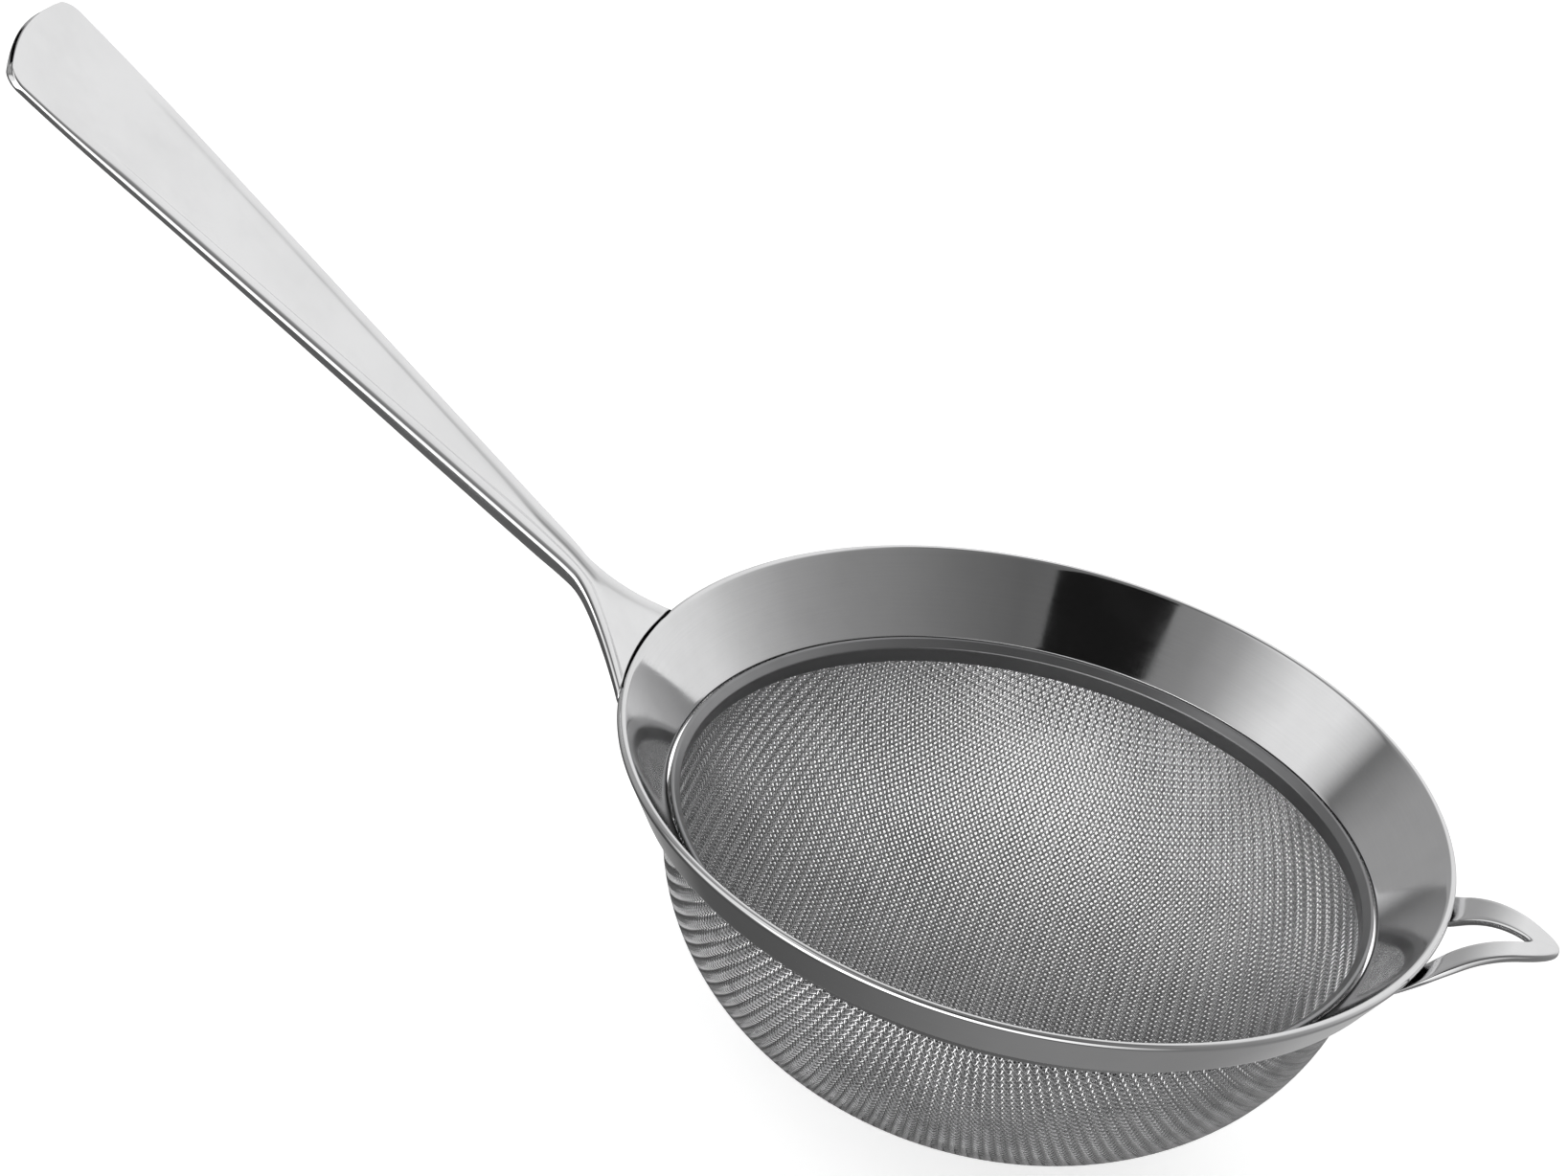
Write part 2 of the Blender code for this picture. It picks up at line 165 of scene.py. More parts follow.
class StrainerStage(bpy.types.PropertyGroup):
    azimuth: angle("Azimuth", -81.1155, "Direction of the camera, from the hook's side")
    elevation: angle("Elevation", 32.104, "Height of the camera over the horizon")
    roll: angle("Roll", 14.886, "Turn of the camera about its own line of sight")
    distance: bpy.props.FloatProperty(
        name="Distance", default=1.33416, unit="LENGTH", description="Distance of the camera"
    )
    slide: bpy.props.FloatVectorProperty(
        name="Slide", default=(-0.023579, 0.019071), size=2, unit="LENGTH",
        description="How far the camera stands to its right and up", precision=5,
    )
    lens: bpy.props.FloatProperty(
        name="Lens", default=329.87, description="Focal length in millimetres", min=1.0
    )


GROUPS = {
    "strainer_rim": StrainerRim,
    "strainer_cloth": StrainerCloth,
    "strainer_handle": StrainerHandle,
    "strainer_hook": StrainerHook,
    "strainer_finish": StrainerFinish,
    "strainer_stage": StrainerStage,
}


# --- Meshes ------------------------------------------------------------------------------------


def grid_faces(rows, columns, closed_rows=False, closed_columns=False):
    """Quads of a grid of points: corner (i, j) is point i * columns + j, and a closed side wraps round."""
    i = np.arange(rows if closed_rows else rows - 1)
    j = np.arange(columns if closed_columns else columns - 1)
    i, j = (k.reshape(-1) for k in np.meshgrid(i, j, indexing="ij"))
    i2, j2 = (i + 1) % rows, (j + 1) % columns
    corners = (i * columns + j, i2 * columns + j, i2 * columns + j2, i * columns + j2)
    return np.stack(corners, axis=-1)


def signed_volume(points, faces):
    """Sum of the tetrahedra from the origin to each face's two triangles: positive if they face out."""
    a, b, c, d = (points[faces[:, k]] for k in range(4))
    return (np.cross(a, b) * c).sum() + (np.cross(a, c) * d).sum()


def add_piece(name, node, points, faces):
    """One closed, smooth mesh object at the origin, which rides on the body and stands for its node."""
    points = np.asarray(points, float).reshape(-1, 3)
    if signed_volume(points, faces) < 0.0:
        faces = faces[:, ::-1]
    mesh = bpy.data.meshes.new(name)
    mesh.vertices.add(len(points))
    mesh.vertices.foreach_set("co", points.astype(np.float32).ravel())
    mesh.loops.add(faces.size)
    mesh.loops.foreach_set("vertex_index", faces.astype(np.int32).ravel())
    mesh.polygons.add(len(faces))
    mesh.polygons.foreach_set("loop_start", np.arange(0, faces.size, 4, dtype=np.int32))
    mesh.update(calc_edges=True)
    mesh.polygons.foreach_set("use_smooth", np.ones(len(faces), bool))
    if mesh.validate():
        raise RuntimeError(f"{name} has faces that share all their corners")
    piece = bpy.data.objects.new(name, mesh)
    bpy.context.scene.collection.objects.link(piece)
    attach(piece, BODY)
    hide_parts(node)
    return piece


def unit(vectors):
    """Each vector over its own length."""
    return vectors / np.linalg.norm(vectors, axis=-1, keepdims=True)


def smoothstep(t):
    """3 t^2 - 2 t^3, with t held between 0 and 1."""
    t = np.clip(t, 0.0, 1.0)
    return t * t * (3.0 - 2.0 * t)


# --- Turned sheet: rim and clamp ring ----------------------------------------------------------

TURN_STEPS = 360
CORNER_STEPS = 6
LIP_STEPS = 20
SHEET_ROUND = 0.45  # Radius of a cut edge, as a share of the sheet.
FOLD_ROUND = 0.05 * MM
CLOTH_SHELL = 0.35 * MM  # Thickness that the cloth takes up between the ring and the collar.


def round_corners(outline, radii):
    """A closed outline with each corner swapped for an arc that touches both of its edges.

    The arc's centre lies on the corner's bisector at radius / sin(half angle), and its points sweep evenly
    from one touching point to the other. A corner of radius 0 stays a point.
    """
    radii = np.asarray(radii)[:, None]
    to_last = unit(np.roll(outline, 1, axis=0) - outline)
    to_next = unit(np.roll(outline, -1, axis=0) - outline)
    half = 0.5 * np.arccos(np.clip((to_last * to_next).sum(1, keepdims=True), -1.0, 1.0))
    run = radii / np.tan(half)
    centre = outline + unit(to_last + to_next + 1e-12) * radii / np.sin(half)
    first = outline + to_last * run - centre
    last = outline + to_next * run - centre
    sweep = np.pi - 2.0 * half
    s = np.linspace(0.0, 1.0, CORNER_STEPS + 1)[None, :, None]
    sweep = np.maximum(sweep, 1e-6)[:, None, :]
    arcs = np.sin((1.0 - s) * sweep) * first[:, None] + np.sin(s * sweep) * last[:, None]
    arcs = centre[:, None] + arcs / np.sin(sweep)
    arcs = np.where(radii[:, None] > 0.0, arcs, outline[:, None])
    points = arcs.reshape(-1, 2)
    moved = np.linalg.norm(points - np.roll(points, 1, axis=0), axis=1) > 1e-8
    return points[moved]


def divide_edges(outline, longest):
    """The same closed outline with extra points, so that no edge is longer than this."""
    ends = np.roll(outline, -1, axis=0)
    counts = np.ceil(np.linalg.norm(ends - outline, axis=1) / longest).astype(int)
    counts = np.maximum(counts, 1)
    which = np.repeat(np.arange(len(outline)), counts)
    step = np.arange(counts.sum()) - np.repeat(np.cumsum(counts) - counts, counts)
    t = (step / counts[which])[:, None]
    return outline[which] * (1.0 - t) + ends[which] * t


def turned(outline):
    """Points and faces of an outline of (r, z) turned about Z: (r cos a, r sin a, z) for each angle a."""
    a = np.linspace(0.0, 2.0 * np.pi, TURN_STEPS, endpoint=False)[:, None]
    r, z = outline[:, 0], outline[:, 1]
    points = np.stack(np.broadcast_arrays(r * np.cos(a), r * np.sin(a), z), axis=-1)
    return points, grid_faces(TURN_STEPS, len(outline), True, True)


def touch_point(foot, bead_centre, radius, inner):
    """Where a line from the foot touches the lip's bead on its inner or outer side.

    The line turns from the centre's direction by the angle whose sine is radius / distance, and its length
    is the root of distance^2 - radius^2.
    """
    away = bead_centre - foot
    distance = np.hypot(*away)
    turn = math.asin(radius / distance) * (1.0 if inner else -1.0)
    direction = math.atan2(away[1], away[0]) + turn
    run = math.sqrt(distance**2 - radius**2)
    return foot + run * np.array([math.cos(direction), math.sin(direction)])


def beside(start, end, offset):
    """Both ends of an edge moved by the offset, to the right of its direction."""
    along = unit(end - start)
    shift = np.array([along[1], -along[0]]) * offset
    return start + shift, end + shift


def meeting(a, b, c, d):
    """Where line a-b meets line c-d: the share t of a-b is (c - a) x (d - c) over (b - a) x (d - c)."""
    one, two = b - a, d - c
    t = ((c - a)[0] * two[1] - (c - a)[1] * two[0]) / (one[0] * two[1] - one[1] * two[0])
    return a + one * t


def rim_outline(rim):
    """Outline of the rim's sheet: funnel, bead over the lip, hem folded back outside, and collar."""
    bead = np.array([rim.lip_radius - rim.bead_radius, 0.0])
    foot_r = rim.lip_radius - rim.step_in
    foot = np.array([foot_r, RIM_LOW.z + rim.collar])
    hem_foot = np.array([rim.lip_radius - rim.hem_step, -rim.hem_depth])
    inner = touch_point(foot, bead, rim.bead_radius, True)
    outer = touch_point(hem_foot, bead, rim.bead_radius, False)
    back_foot, back_top = beside(foot, inner, rim.sheet)
    hem_top, hem_inner = beside(outer, hem_foot, rim.sheet)
    fold = np.array([[0.0, -rim.bead_radius], [bead[0], -rim.bead_radius]])
    fold_hem, fold_back = meeting(hem_top, hem_inner, *fold), meeting(back_foot, back_top, *fold)
    wall = foot_r + rim.sheet
    knee = meeting(back_foot, back_top, np.array([wall, 0.0]), np.array([wall, -1.0]))
    first, last = (math.atan2(*(p - bead)[::-1]) for p in (inner, outer))
    a = np.linspace(first, last, LIP_STEPS)
    lip = bead + rim.bead_radius * np.stack([np.cos(a), np.sin(a)], axis=-1)
    corners = [hem_foot, hem_inner, fold_hem, fold_back, knee]
    corners += [(wall, RIM_LOW.z), (foot_r, RIM_LOW.z), foot]
    hem_edge = [rim.sheet * SHEET_ROUND] * 2
    folds = [FOLD_ROUND] * 2
    collar = [0.3 * MM, 0.1 * MM, 0.1 * MM, 0.35 * MM]
    return round_corners(np.vstack([lip, corners]), [0.0] * LIP_STEPS + hem_edge + folds + collar)


def ring_outline(rim):
    """Outline of the clamp ring: a short upright band whose top flares out over the cloth's edge.

    The flare's outer face is 0.75 of the sheet high and its top 0.9 of the sheet wide.
    """
    flare = RING_HIGH.x
    outer = BOWL_HIGH.x - CLOTH_SHELL - rim.gap
    inner = outer - rim.ring_sheet
    face, width = rim.ring_sheet * 0.75, rim.ring_sheet * 0.9
    top, foot = RING_HIGH.z, RING_LOW.z
    corners = [
        (flare, top), (flare, top - face), (outer, BOWL_HIGH.z), (outer, foot), (inner, foot),
        (inner, top - rim.ring_flare), (flare - width, top),
    ]
    radii = np.array([0.1, 0.08, 0.12, 0.12, 0.12, 0.25, 0.1]) * MM
    return round_corners(np.array(corners), radii)


# --- Woven bowl --------------------------------------------------------------------------------

WIRE_SIDES = 4
WIRE_FULLNESS = 0.95  # 1 is a tube whose flats touch the round wire from outside.
CLOTH_PARTS = 4
MERIDIAN_POINTS = 6001
EXTRA_WALL = 20.0 * MM  # How far the upright wall is carried on, for wires that are trimmed later.
NEWTON_STEPS = 5
LARGEST_TURN = 0.6  # Radians that a crossing may turn in one step.


class BowlShape:
    """The cloth's middle surface: a dome with (r / R)^n + (drop / D)^n = 1, under a short upright wall."""

    def __init__(self, cloth):
        half = cloth.wire * 0.5 + cloth.crimp
        self.power = cloth.roundness
        self.radius = BOWL_HIGH.x - half
        self.start = BOWL_HIGH.z - cloth.collar
        self.depth = self.start - BOWL_LOW.z - half
        self.top = BOWL_HIGH.z - half

    def drop(self, z):
        """Depth below the start of the dome, as a share of the dome's."""
        return np.maximum(self.start - z, 0.0) / self.depth

    def level(self, p):
        """Below 1 inside the surface, 1 on it."""
        r = np.hypot(p[..., 0], p[..., 1]) / self.radius
        return r**self.power + self.drop(p[..., 2]) ** self.power

    def slope(self, p):
        """The level's gradient, which points outwards."""
        r = np.maximum(np.hypot(p[..., 0], p[..., 1]), 1e-9)
        across = self.power * (r / self.radius) ** (self.power - 1.0) / self.radius / r
        down = -self.power * self.drop(p[..., 2]) ** (self.power - 1.0) / self.depth
        return np.stack([across * p[..., 0], across * p[..., 1], down], axis=-1)

    def meridian(self, distances):
        """(r, z) at distances along a meridian from the bowl's lowest point, straight up above the dome."""
        a = np.linspace(np.pi / 2.0, 0.0, MERIDIAN_POINTS)
        exponent = 2.0 / self.power
        r = self.radius * np.abs(np.cos(a)) ** exponent
        z = self.start - self.depth * np.abs(np.sin(a)) ** exponent
        r, z = np.append(r, self.radius), np.append(z, self.start + EXTRA_WALL)
        run = np.append(0.0, np.cumsum(np.hypot(np.diff(r), np.diff(z))))
        return np.interp(distances, run, r), np.interp(distances, run, z)


def lay_quadrant(shape, pitch, count):
    """Crossings of the cloth's wires over a quarter of the bowl, as woven cloth really drapes.

    Woven wire can't stretch, only shear, so every crossing is one pitch from the one before it on both of
    its wires. The two middle wires follow meridians. Every other crossing lies on the circle that is one
    pitch from both neighbours, and Newton's method turns it round that circle until it is on the bowl. Each
    diagonal of the quarter is found at once from the diagonal before it.
    """
    net = np.zeros((count + 1, count + 1, 3))
    r, z = shape.meridian(np.arange(count + 1) * pitch)
    net[:, 0, 0], net[:, 0, 2] = r, z
    net[0, :, 1], net[0, :, 2] = r, z
    for diagonal in range(2, 2 * count + 1):
        i = np.arange(max(1, diagonal - count), min(count, diagonal - 1) + 1)
        j = diagonal - i
        one, two, back = net[i - 1, j], net[i, j - 1], net[i - 1, j - 1]
        middle = 0.5 * (one + two)
        across = unit(two - one + 1e-12)
        away = middle - back
        away = unit(away - (away * across).sum(-1, keepdims=True) * across + 1e-12)
        side = np.cross(across, away)
        gap = ((two - one) ** 2).sum(-1, keepdims=True)
        arm = np.sqrt(np.maximum(pitch**2 - 0.25 * gap, 1e-12))
        turn = np.zeros_like(arm)
        for _ in range(NEWTON_STEPS):
            point = middle + arm * (np.cos(turn) * away + np.sin(turn) * side)
            moving = arm * (np.cos(turn) * side - np.sin(turn) * away)
            rate = (shape.slope(point) * moving).sum(-1, keepdims=True)
            rate = np.where(np.abs(rate) < 1e-6, 1e-6, rate)
            step = (shape.level(point)[:, None] - 1.0) / rate
            turn -= np.clip(step, -LARGEST_TURN, LARGEST_TURN)
        net[i, j] = middle + arm * (np.cos(turn) * away + np.sin(turn) * side)
    return net


def lay_cloth(shape, cloth):
    """All crossings: the quarter turned by right angles about Z, then by the lay of the cloth.

    A quarter circle of the bowl's radius is longer than its meridian, so it gives enough wires.
    """
    reach = 0.5 * np.pi * shape.radius + cloth.collar
    count = int(reach / cloth.pitch)
    quarter = lay_quadrant(shape, cloth.pitch, count)
    net = np.empty((2 * count + 1, 2 * count + 1, 3))
    quarters = [quarter]
    for _ in range(3):
        x, y, z = np.moveaxis(quarters[-1], -1, 0)
        quarters.append(np.stack([-y, x, z], axis=-1))
    net[count:, count:] = quarters[0]
    net[count::-1, count:] = quarters[1].swapaxes(0, 1)
    net[count::-1, count::-1] = quarters[2]
    net[count:, count::-1] = quarters[3].swapaxes(0, 1)
    x, y, z = np.moveaxis(net, -1, 0)
    c, s = math.cos(cloth.lay), math.sin(cloth.lay)
    return np.stack([c * x - s * y, s * x + c * y, z], axis=-1)


def twill(rows, columns):
    """1 where a first wire passes outside a second one, -1 where it passes inside.

    It passes outside two wires, then inside two, and each wire starts its turn one crossing after its
    neighbour: outside where (i - j) mod 4 is 0 or 1.
    """
    i, j = np.indices((rows, columns))
    return np.where((i - j) % 4 < 2, 1.0, -1.0)


def wire_lines(net, shape, swing):
    """Centre line of every wire along the net's first side, two samples to a pitch.

    A crossing lies its swing outside the cloth's middle, and the sample between two crossings is their mean.
    """
    rows, columns = net.shape[:2]
    out = unit(shape.slope(net) + 1e-12)
    lines = np.empty((2 * rows - 1, columns, 3))
    normals = np.empty_like(lines)
    lines[::2] = net + out * swing[..., None]
    lines[1::2] = 0.5 * (lines[2::2] + lines[:-2:2])
    normals[::2] = out
    normals[1::2] = unit(out[1:] + out[:-1])
    return lines.swapaxes(0, 1), normals.swapaxes(0, 1)


def trim_lines(lines, top):
    """Which samples each wire keeps: the longest run below the cloth's edge, and that run's two ends.

    The two end samples are slid along the wire to stop at the edge.
    """
    below = lines[..., 2] < top
    middle = lines.shape[1] // 2
    centre_out = np.arange(lines.shape[1])
    ahead = np.where(~below & (centre_out >= middle), centre_out, lines.shape[1] - 2).min(1)
    behind = np.where(~below & (centre_out <= middle), centre_out, 1).max(1)
    for ends, inward in ((ahead, -1), (behind, 1)):
        which = np.arange(len(lines))
        outer, inner = lines[which, ends], lines[which, ends + inward]
        t = (top - inner[:, 2]) / np.maximum(outer[:, 2] - inner[:, 2], 1e-9)
        lines[which, ends] = inner + np.clip(t, 0.2, 1.0)[:, None] * (outer - inner)
    return behind, ahead


def wire_tubes(lines, normals, behind, ahead, radius):
    """Tubes along the wires: each sample's ring is centre + R (cos a side + sin a lift) for angles a.

    Side is square to the wire and to the cloth's normal, and lift to the wire and the side. R is the radius
    over cos(180 degrees / sides), which puts the tube's flats on the round wire, times the fullness.
    """
    along = np.empty_like(lines)
    along[:, 1:-1] = lines[:, 2:] - lines[:, :-2]
    along[:, 0], along[:, -1] = along[:, 1], along[:, -2]
    side = unit(np.cross(along, normals) + 1e-15)
    lift = unit(np.cross(side, along) + 1e-15)
    a = (np.arange(WIRE_SIDES) + 0.5) * 2.0 * np.pi / WIRE_SIDES
    rings = np.cos(a)[:, None] * side[:, :, None] + np.sin(a)[:, None] * lift[:, :, None]
    points = lines[:, :, None] + radius * WIRE_FULLNESS / math.cos(math.pi / WIRE_SIDES) * rings
    wires, samples = lines.shape[:2]
    number = np.arange(wires * samples * WIRE_SIDES).reshape(wires, samples, WIRE_SIDES)
    step = np.arange(samples)[None]
    kept = (step >= behind[:, None]) & (step < ahead[:, None])
    first, second = number[:, :-1][kept[:, :-1]], number[:, 1:][kept[:, :-1]]
    walls = np.stack([first, second, np.roll(second, -1, 1), np.roll(first, -1, 1)], axis=-1)
    which = np.arange(wires)
    caps = np.concatenate([number[which, behind], number[which, ahead][:, ::-1]])
    faces = np.concatenate([walls.reshape(-1, 4), caps])
    used, faces = np.unique(faces, return_inverse=True)
    return points.reshape(-1, 3)[used], faces.reshape(-1, 4)


def weave(shape, cloth):
    """(name, points, faces) of each part of the cloth: four of its first wires and four of its second."""
    net = lay_cloth(shape, cloth)
    swing = twill(*net.shape[:2]) * cloth.crimp
    for family, crossings, swings in (
        ("warp", net, swing),
        ("weft", net.swapaxes(0, 1), -swing.T),
    ):
        lines, normals = wire_lines(crossings, shape, swings)
        middle = lines.shape[1] // 2
        inside = lines[:, middle, 2] < shape.top
        lines, normals = lines[inside], normals[inside]
        behind, ahead = trim_lines(lines, shape.top)
        load = np.cumsum(ahead - behind)
        part = np.minimum(load * CLOTH_PARTS // (load[-1] + 1), CLOTH_PARTS - 1)
        for k in range(CLOTH_PARTS):
            own = part == k
            tubes = wire_tubes(lines[own], normals[own], behind[own], ahead[own], cloth.wire * 0.5)
            yield f"cloth_{family}_{k + 1}", *tubes


# --- Flat work: handle and hook ----------------------------------------------------------------

WELD_SINK = 0.04 * MM  # How far a welded plate reaches into the rim.
HALVINGS = 40
EDGE_STEPS = 6


def hem_radius(rim, z):
    """Radius at which a plate meets the rim: the lip's above its centre, along the hem's slope below."""
    slope = (rim.hem_step - rim.bead_radius) / rim.hem_depth
    return rim.lip_radius - WELD_SINK + np.minimum(z, 0.0) * slope


def start_at_rim(place, low, high):
    """Where each line of a plate starts so that it ends on the rim, found by halving.

    place(t) gives every line's point at t, low is inside the rim and high outside.
    """
    rim = bpy.context.scene.strainer_rim
    for _ in range(HALVINGS):
        middle = 0.5 * (low + high)
        x, y, z = np.moveaxis(place(middle), -1, 0)
        inside = np.hypot(x, y) < hem_radius(rim, z)
        low, high = np.where(inside, middle, low), np.where(inside, high, middle)
    return high


def plate_section(edge, flats):
    """One side's loop of a plate's section, from the top's middle out and round the edge to the underside.

    It gives the inset from the plate's outline and which face each point belongs to: 1 is the top, -1 the
    underside. Flats are shares of the way from the rounded edge to the middle. Depth is how far a point lies
    below the top, or above the underside.
    """
    a = np.linspace(0.0, 0.5 * np.pi, EDGE_STEPS)
    inset = np.concatenate([np.full(len(flats), edge), edge * (1.0 - np.sin(a))])
    depth = np.concatenate([np.zeros(len(flats)), edge * (1.0 - np.cos(a))])
    inner = np.concatenate([flats, np.zeros(len(a))])
    face = np.ones(len(inner))
    mirrored = (np.concatenate([k, k[::-1]]) for k in (inset, depth, inner))
    return (*mirrored, np.concatenate([face, -face]))


def soft_lower(a, b, blend):
    """The lower of two values, less blend / 4 times h^2, where h falls from 1 at their crossing to 0."""
    h = np.maximum(0.0, blend - np.abs(a - b)) / blend
    return np.minimum(a, b) - h * h * blend * 0.25


TAIL_BULGE = 1.2 * MM  # How far the tail's end is bowed out in the middle.
TAIL_ROUND = 2.2 * MM  # Radius of the tail's corners.
TAIL_CORNER = math.radians(58)  # Angle of the corner's arc at which the handle's length is measured.
RELIEF_END = 6.0 * MM  # Distance from the tail at which the borders have faded out.
RELIEF_FADE = 12.0 * MM
WALL_TURN_END = 4.0 * MM  # Distance past the neck at which the side walls are square to the path.
WALL_TURN = 5.0 * MM


class HandleShape:
    """A straight root and a straight handle joined by an arc at the neck, in the XZ plane."""

    def __init__(self, handle, rim):
        self.h = handle
        self.bend = handle.root_slope - handle.lift
        self.arc = handle.neck_bend * self.bend
        corner_x = rim.lip_radius + handle.neck_clear
        bead = rim.lip_radius - rim.bead_radius
        corner_z = (corner_x - bead) * math.tan(handle.root_slope) + handle.root_rise
        tangent = handle.neck_bend * math.tan(self.bend / 2.0)
        self.x0 = corner_x - tangent * math.cos(handle.root_slope)
        self.z0 = corner_z - tangent * math.sin(handle.root_slope)
        self.root = handle.neck_clear / math.cos(handle.root_slope)
        self.end = handle.reach - TAIL_BULGE - TAIL_ROUND * (1.0 - math.sin(TAIL_CORNER))

    def path(self, reach):
        """(x, z) of the top's centre line and its slope, at distances from the neck.

        Along the arc the slope falls by the distance over the bend's radius, and x and z are the radius
        times the change of its sine and cosine. Before and after it they run straight, at the end slopes.
        """
        h = self.h
        along = reach + self.arc / 2.0
        turned = np.clip(along, 0.0, self.arc) / h.neck_bend
        slope = h.root_slope - turned
        before = np.minimum(along, 0.0)
        after = np.maximum(along - self.arc, 0.0)
        x = self.x0 + h.neck_bend * (math.sin(h.root_slope) - np.sin(slope))
        z = self.z0 + h.neck_bend * (np.cos(slope) - math.cos(h.root_slope))
        x = x + before * math.cos(h.root_slope) + after * math.cos(h.lift)
        z = z + before * math.sin(h.root_slope) + after * math.sin(h.lift)
        return -x, z, slope

    def half_width(self, reach):
        """Half the plan's width: a root that flares as spread^1.5, a straight taper, a rounded tail."""
        h = self.h
        spread = np.clip(-reach / self.root, 0.0, 1.12)
        root = h.neck_half + h.root_flare * spread**1.5
        slope = (h.tail_half - h.neck_half) / h.taper
        body = soft_lower(h.neck_half + slope * reach, h.tail_half, 0.1 * h.tail_half)
        past = np.clip(reach - (self.end - TAIL_ROUND), 0.0, TAIL_ROUND)
        body -= TAIL_ROUND - np.sqrt(TAIL_ROUND**2 - past**2)
        return np.where(reach < 0.0, root, body)

    def thickness(self, reach):
        """Forged thickest at the neck: 1.5 mm there, 1.1 mm at the lip and 1 mm at the tail."""
        root = 1.5 - 0.4 * np.clip(-reach / self.root, 0.0, 1.0)
        body = 1.5 - 0.5 * smoothstep(1.4 * reach / self.h.reach)
        return np.where(reach < 0.0, root, body) * MM

    def relief(self, reach, half, from_edge):
        """Height over the plain top: a half sine across each border, a parabola's hollow between them.

        Both fade out before the tail, and grow fainter where the handle is too narrow for two borders.
        """
        h = self.h
        border = np.minimum(h.border, 0.75 * half)
        fade = smoothstep((h.reach - reach - RELIEF_END) / RELIEF_FADE)
        strength = fade * np.minimum(1.0, half / (2.0 * h.border) + 0.35)
        crest = h.border_rise * np.sin(np.pi * np.clip(from_edge / border, 0.0, 1.0))
        across = np.clip((half - from_edge) / (half - border), 0.0, 1.0)
        hollow = -h.panel_sink * (1.0 - across**2)
        return strength * np.where(from_edge < border, crest, hollow)


def handle_points(shape, reach, section, side, drop):
    """Points of the handle's loop at each distance from the neck.

    A section point is its distance in from the outline, carried along the path: the top is the path plus the
    relief, the underside is the path minus the thickness. The sides turn from square to the path to upright
    along the root. Drop rounds the tail's end.
    """
    inset, depth, inner, face = section
    half = shape.half_width(reach)
    from_edge = inset + inner * (half - inset)
    y = np.maximum(half - from_edge, 0.0) * side
    body = np.clip((reach - 0.9 * shape.end) / (0.1 * shape.end), 0.0, 1.0)
    along = reach + TAIL_BULGE * body * (1.0 - (y / half) ** 2)
    x, z, slope = shape.path(along)
    top = shape.relief(along, half, from_edge) - depth - drop
    under = depth + drop - shape.thickness(reach)
    height = np.where(face > 0.0, top, under)
    upright = smoothstep((WALL_TURN_END - reach) / WALL_TURN)
    lean = np.where(face > 0.0, 0.0, np.sin(slope) * (1.0 - upright))
    rise = np.where(face > 0.0, 1.0, np.cos(slope) * (1.0 - upright) + upright)
    return np.stack([x + height * lean, y, z + height * rise], axis=-1)


def handle_mesh(shape, edge):
    """The handle's loop of section points swept from the rim to the tail, with both ends closed.

    Rows run evenly along the root and the body. Round the tail's corners they lie at the radius times sin a,
    and over its last edge at the edge's round times sin b, with a drop of that round times 1 - cos b.
    """
    inset, depth, inner, face = plate_section(edge, np.linspace(1.0, 0.02, 26))
    side = np.concatenate([np.ones(len(inset)), -np.ones(len(inset) - 2)])
    loop = [np.concatenate([k, k[-2:0:-1]]) for k in (inset, depth, inner, face)]
    join = -0.15 * shape.root
    inside, outside = np.full(len(side), -1.6 * shape.root), np.full(len(side), -0.2 * shape.root)
    start = start_at_rim(lambda t: handle_points(shape, t, loop, side, 0.0), inside, outside)
    t = np.linspace(0.0, 1.0, 40)[:, None]
    root = start + (join - start) * t
    body_end = shape.end - TAIL_ROUND
    body = np.linspace(join, body_end, 150)[1:]
    a = np.radians(np.linspace(0.0, 90.0, 14)[1:])
    tail = body_end + (TAIL_ROUND - edge) * np.sin(a)
    b = np.linspace(0.0, 0.5 * np.pi, EDGE_STEPS)[1:]
    last = shape.end - edge + edge * np.sin(b)
    rows = np.concatenate([body, tail, last])[:, None]
    drop = np.concatenate([np.zeros(len(body) + len(tail)), edge * (1.0 - np.cos(b))])[:, None]
    rows = np.vstack([root, np.broadcast_to(rows, (len(rows), len(side)))])
    drop = np.vstack([np.zeros((len(root), 1)), drop])
    points = handle_points(shape, rows, loop, side, drop)
    return close_loft(points, len(inset) // 2 - 1)


def close_loft(points, turn):
    """Faces of a closed loop swept in rows, whose two ends are closed across from top to underside."""
    rows, columns = points.shape[:2]
    ring = np.roll(np.arange(columns), turn)
    first, last = ring, ring + (rows - 1) * columns
    caps = [end_faces(first), end_faces(last)[:, ::-1]]
    return points, np.concatenate([grid_faces(rows, columns, False, True), *caps])


def end_faces(ring):
    """Quads across an end: the ring starts half way down one side, so its points pair up across it."""
    half = len(ring) // 2
    k = np.arange(half - 1)
    return np.stack([ring[k], ring[-1 - k], ring[-2 - k], ring[k + 1]], axis=-1)


LEG_ROWS = 90
ROOT_ROWS = 24  # Rows of a leg that bend in to the rim.
OUTER_FULLNESS = 0.31  # How blunt the tip is, and then the slot's end: 0 is a point.
SLOT_FULLNESS = 0.19


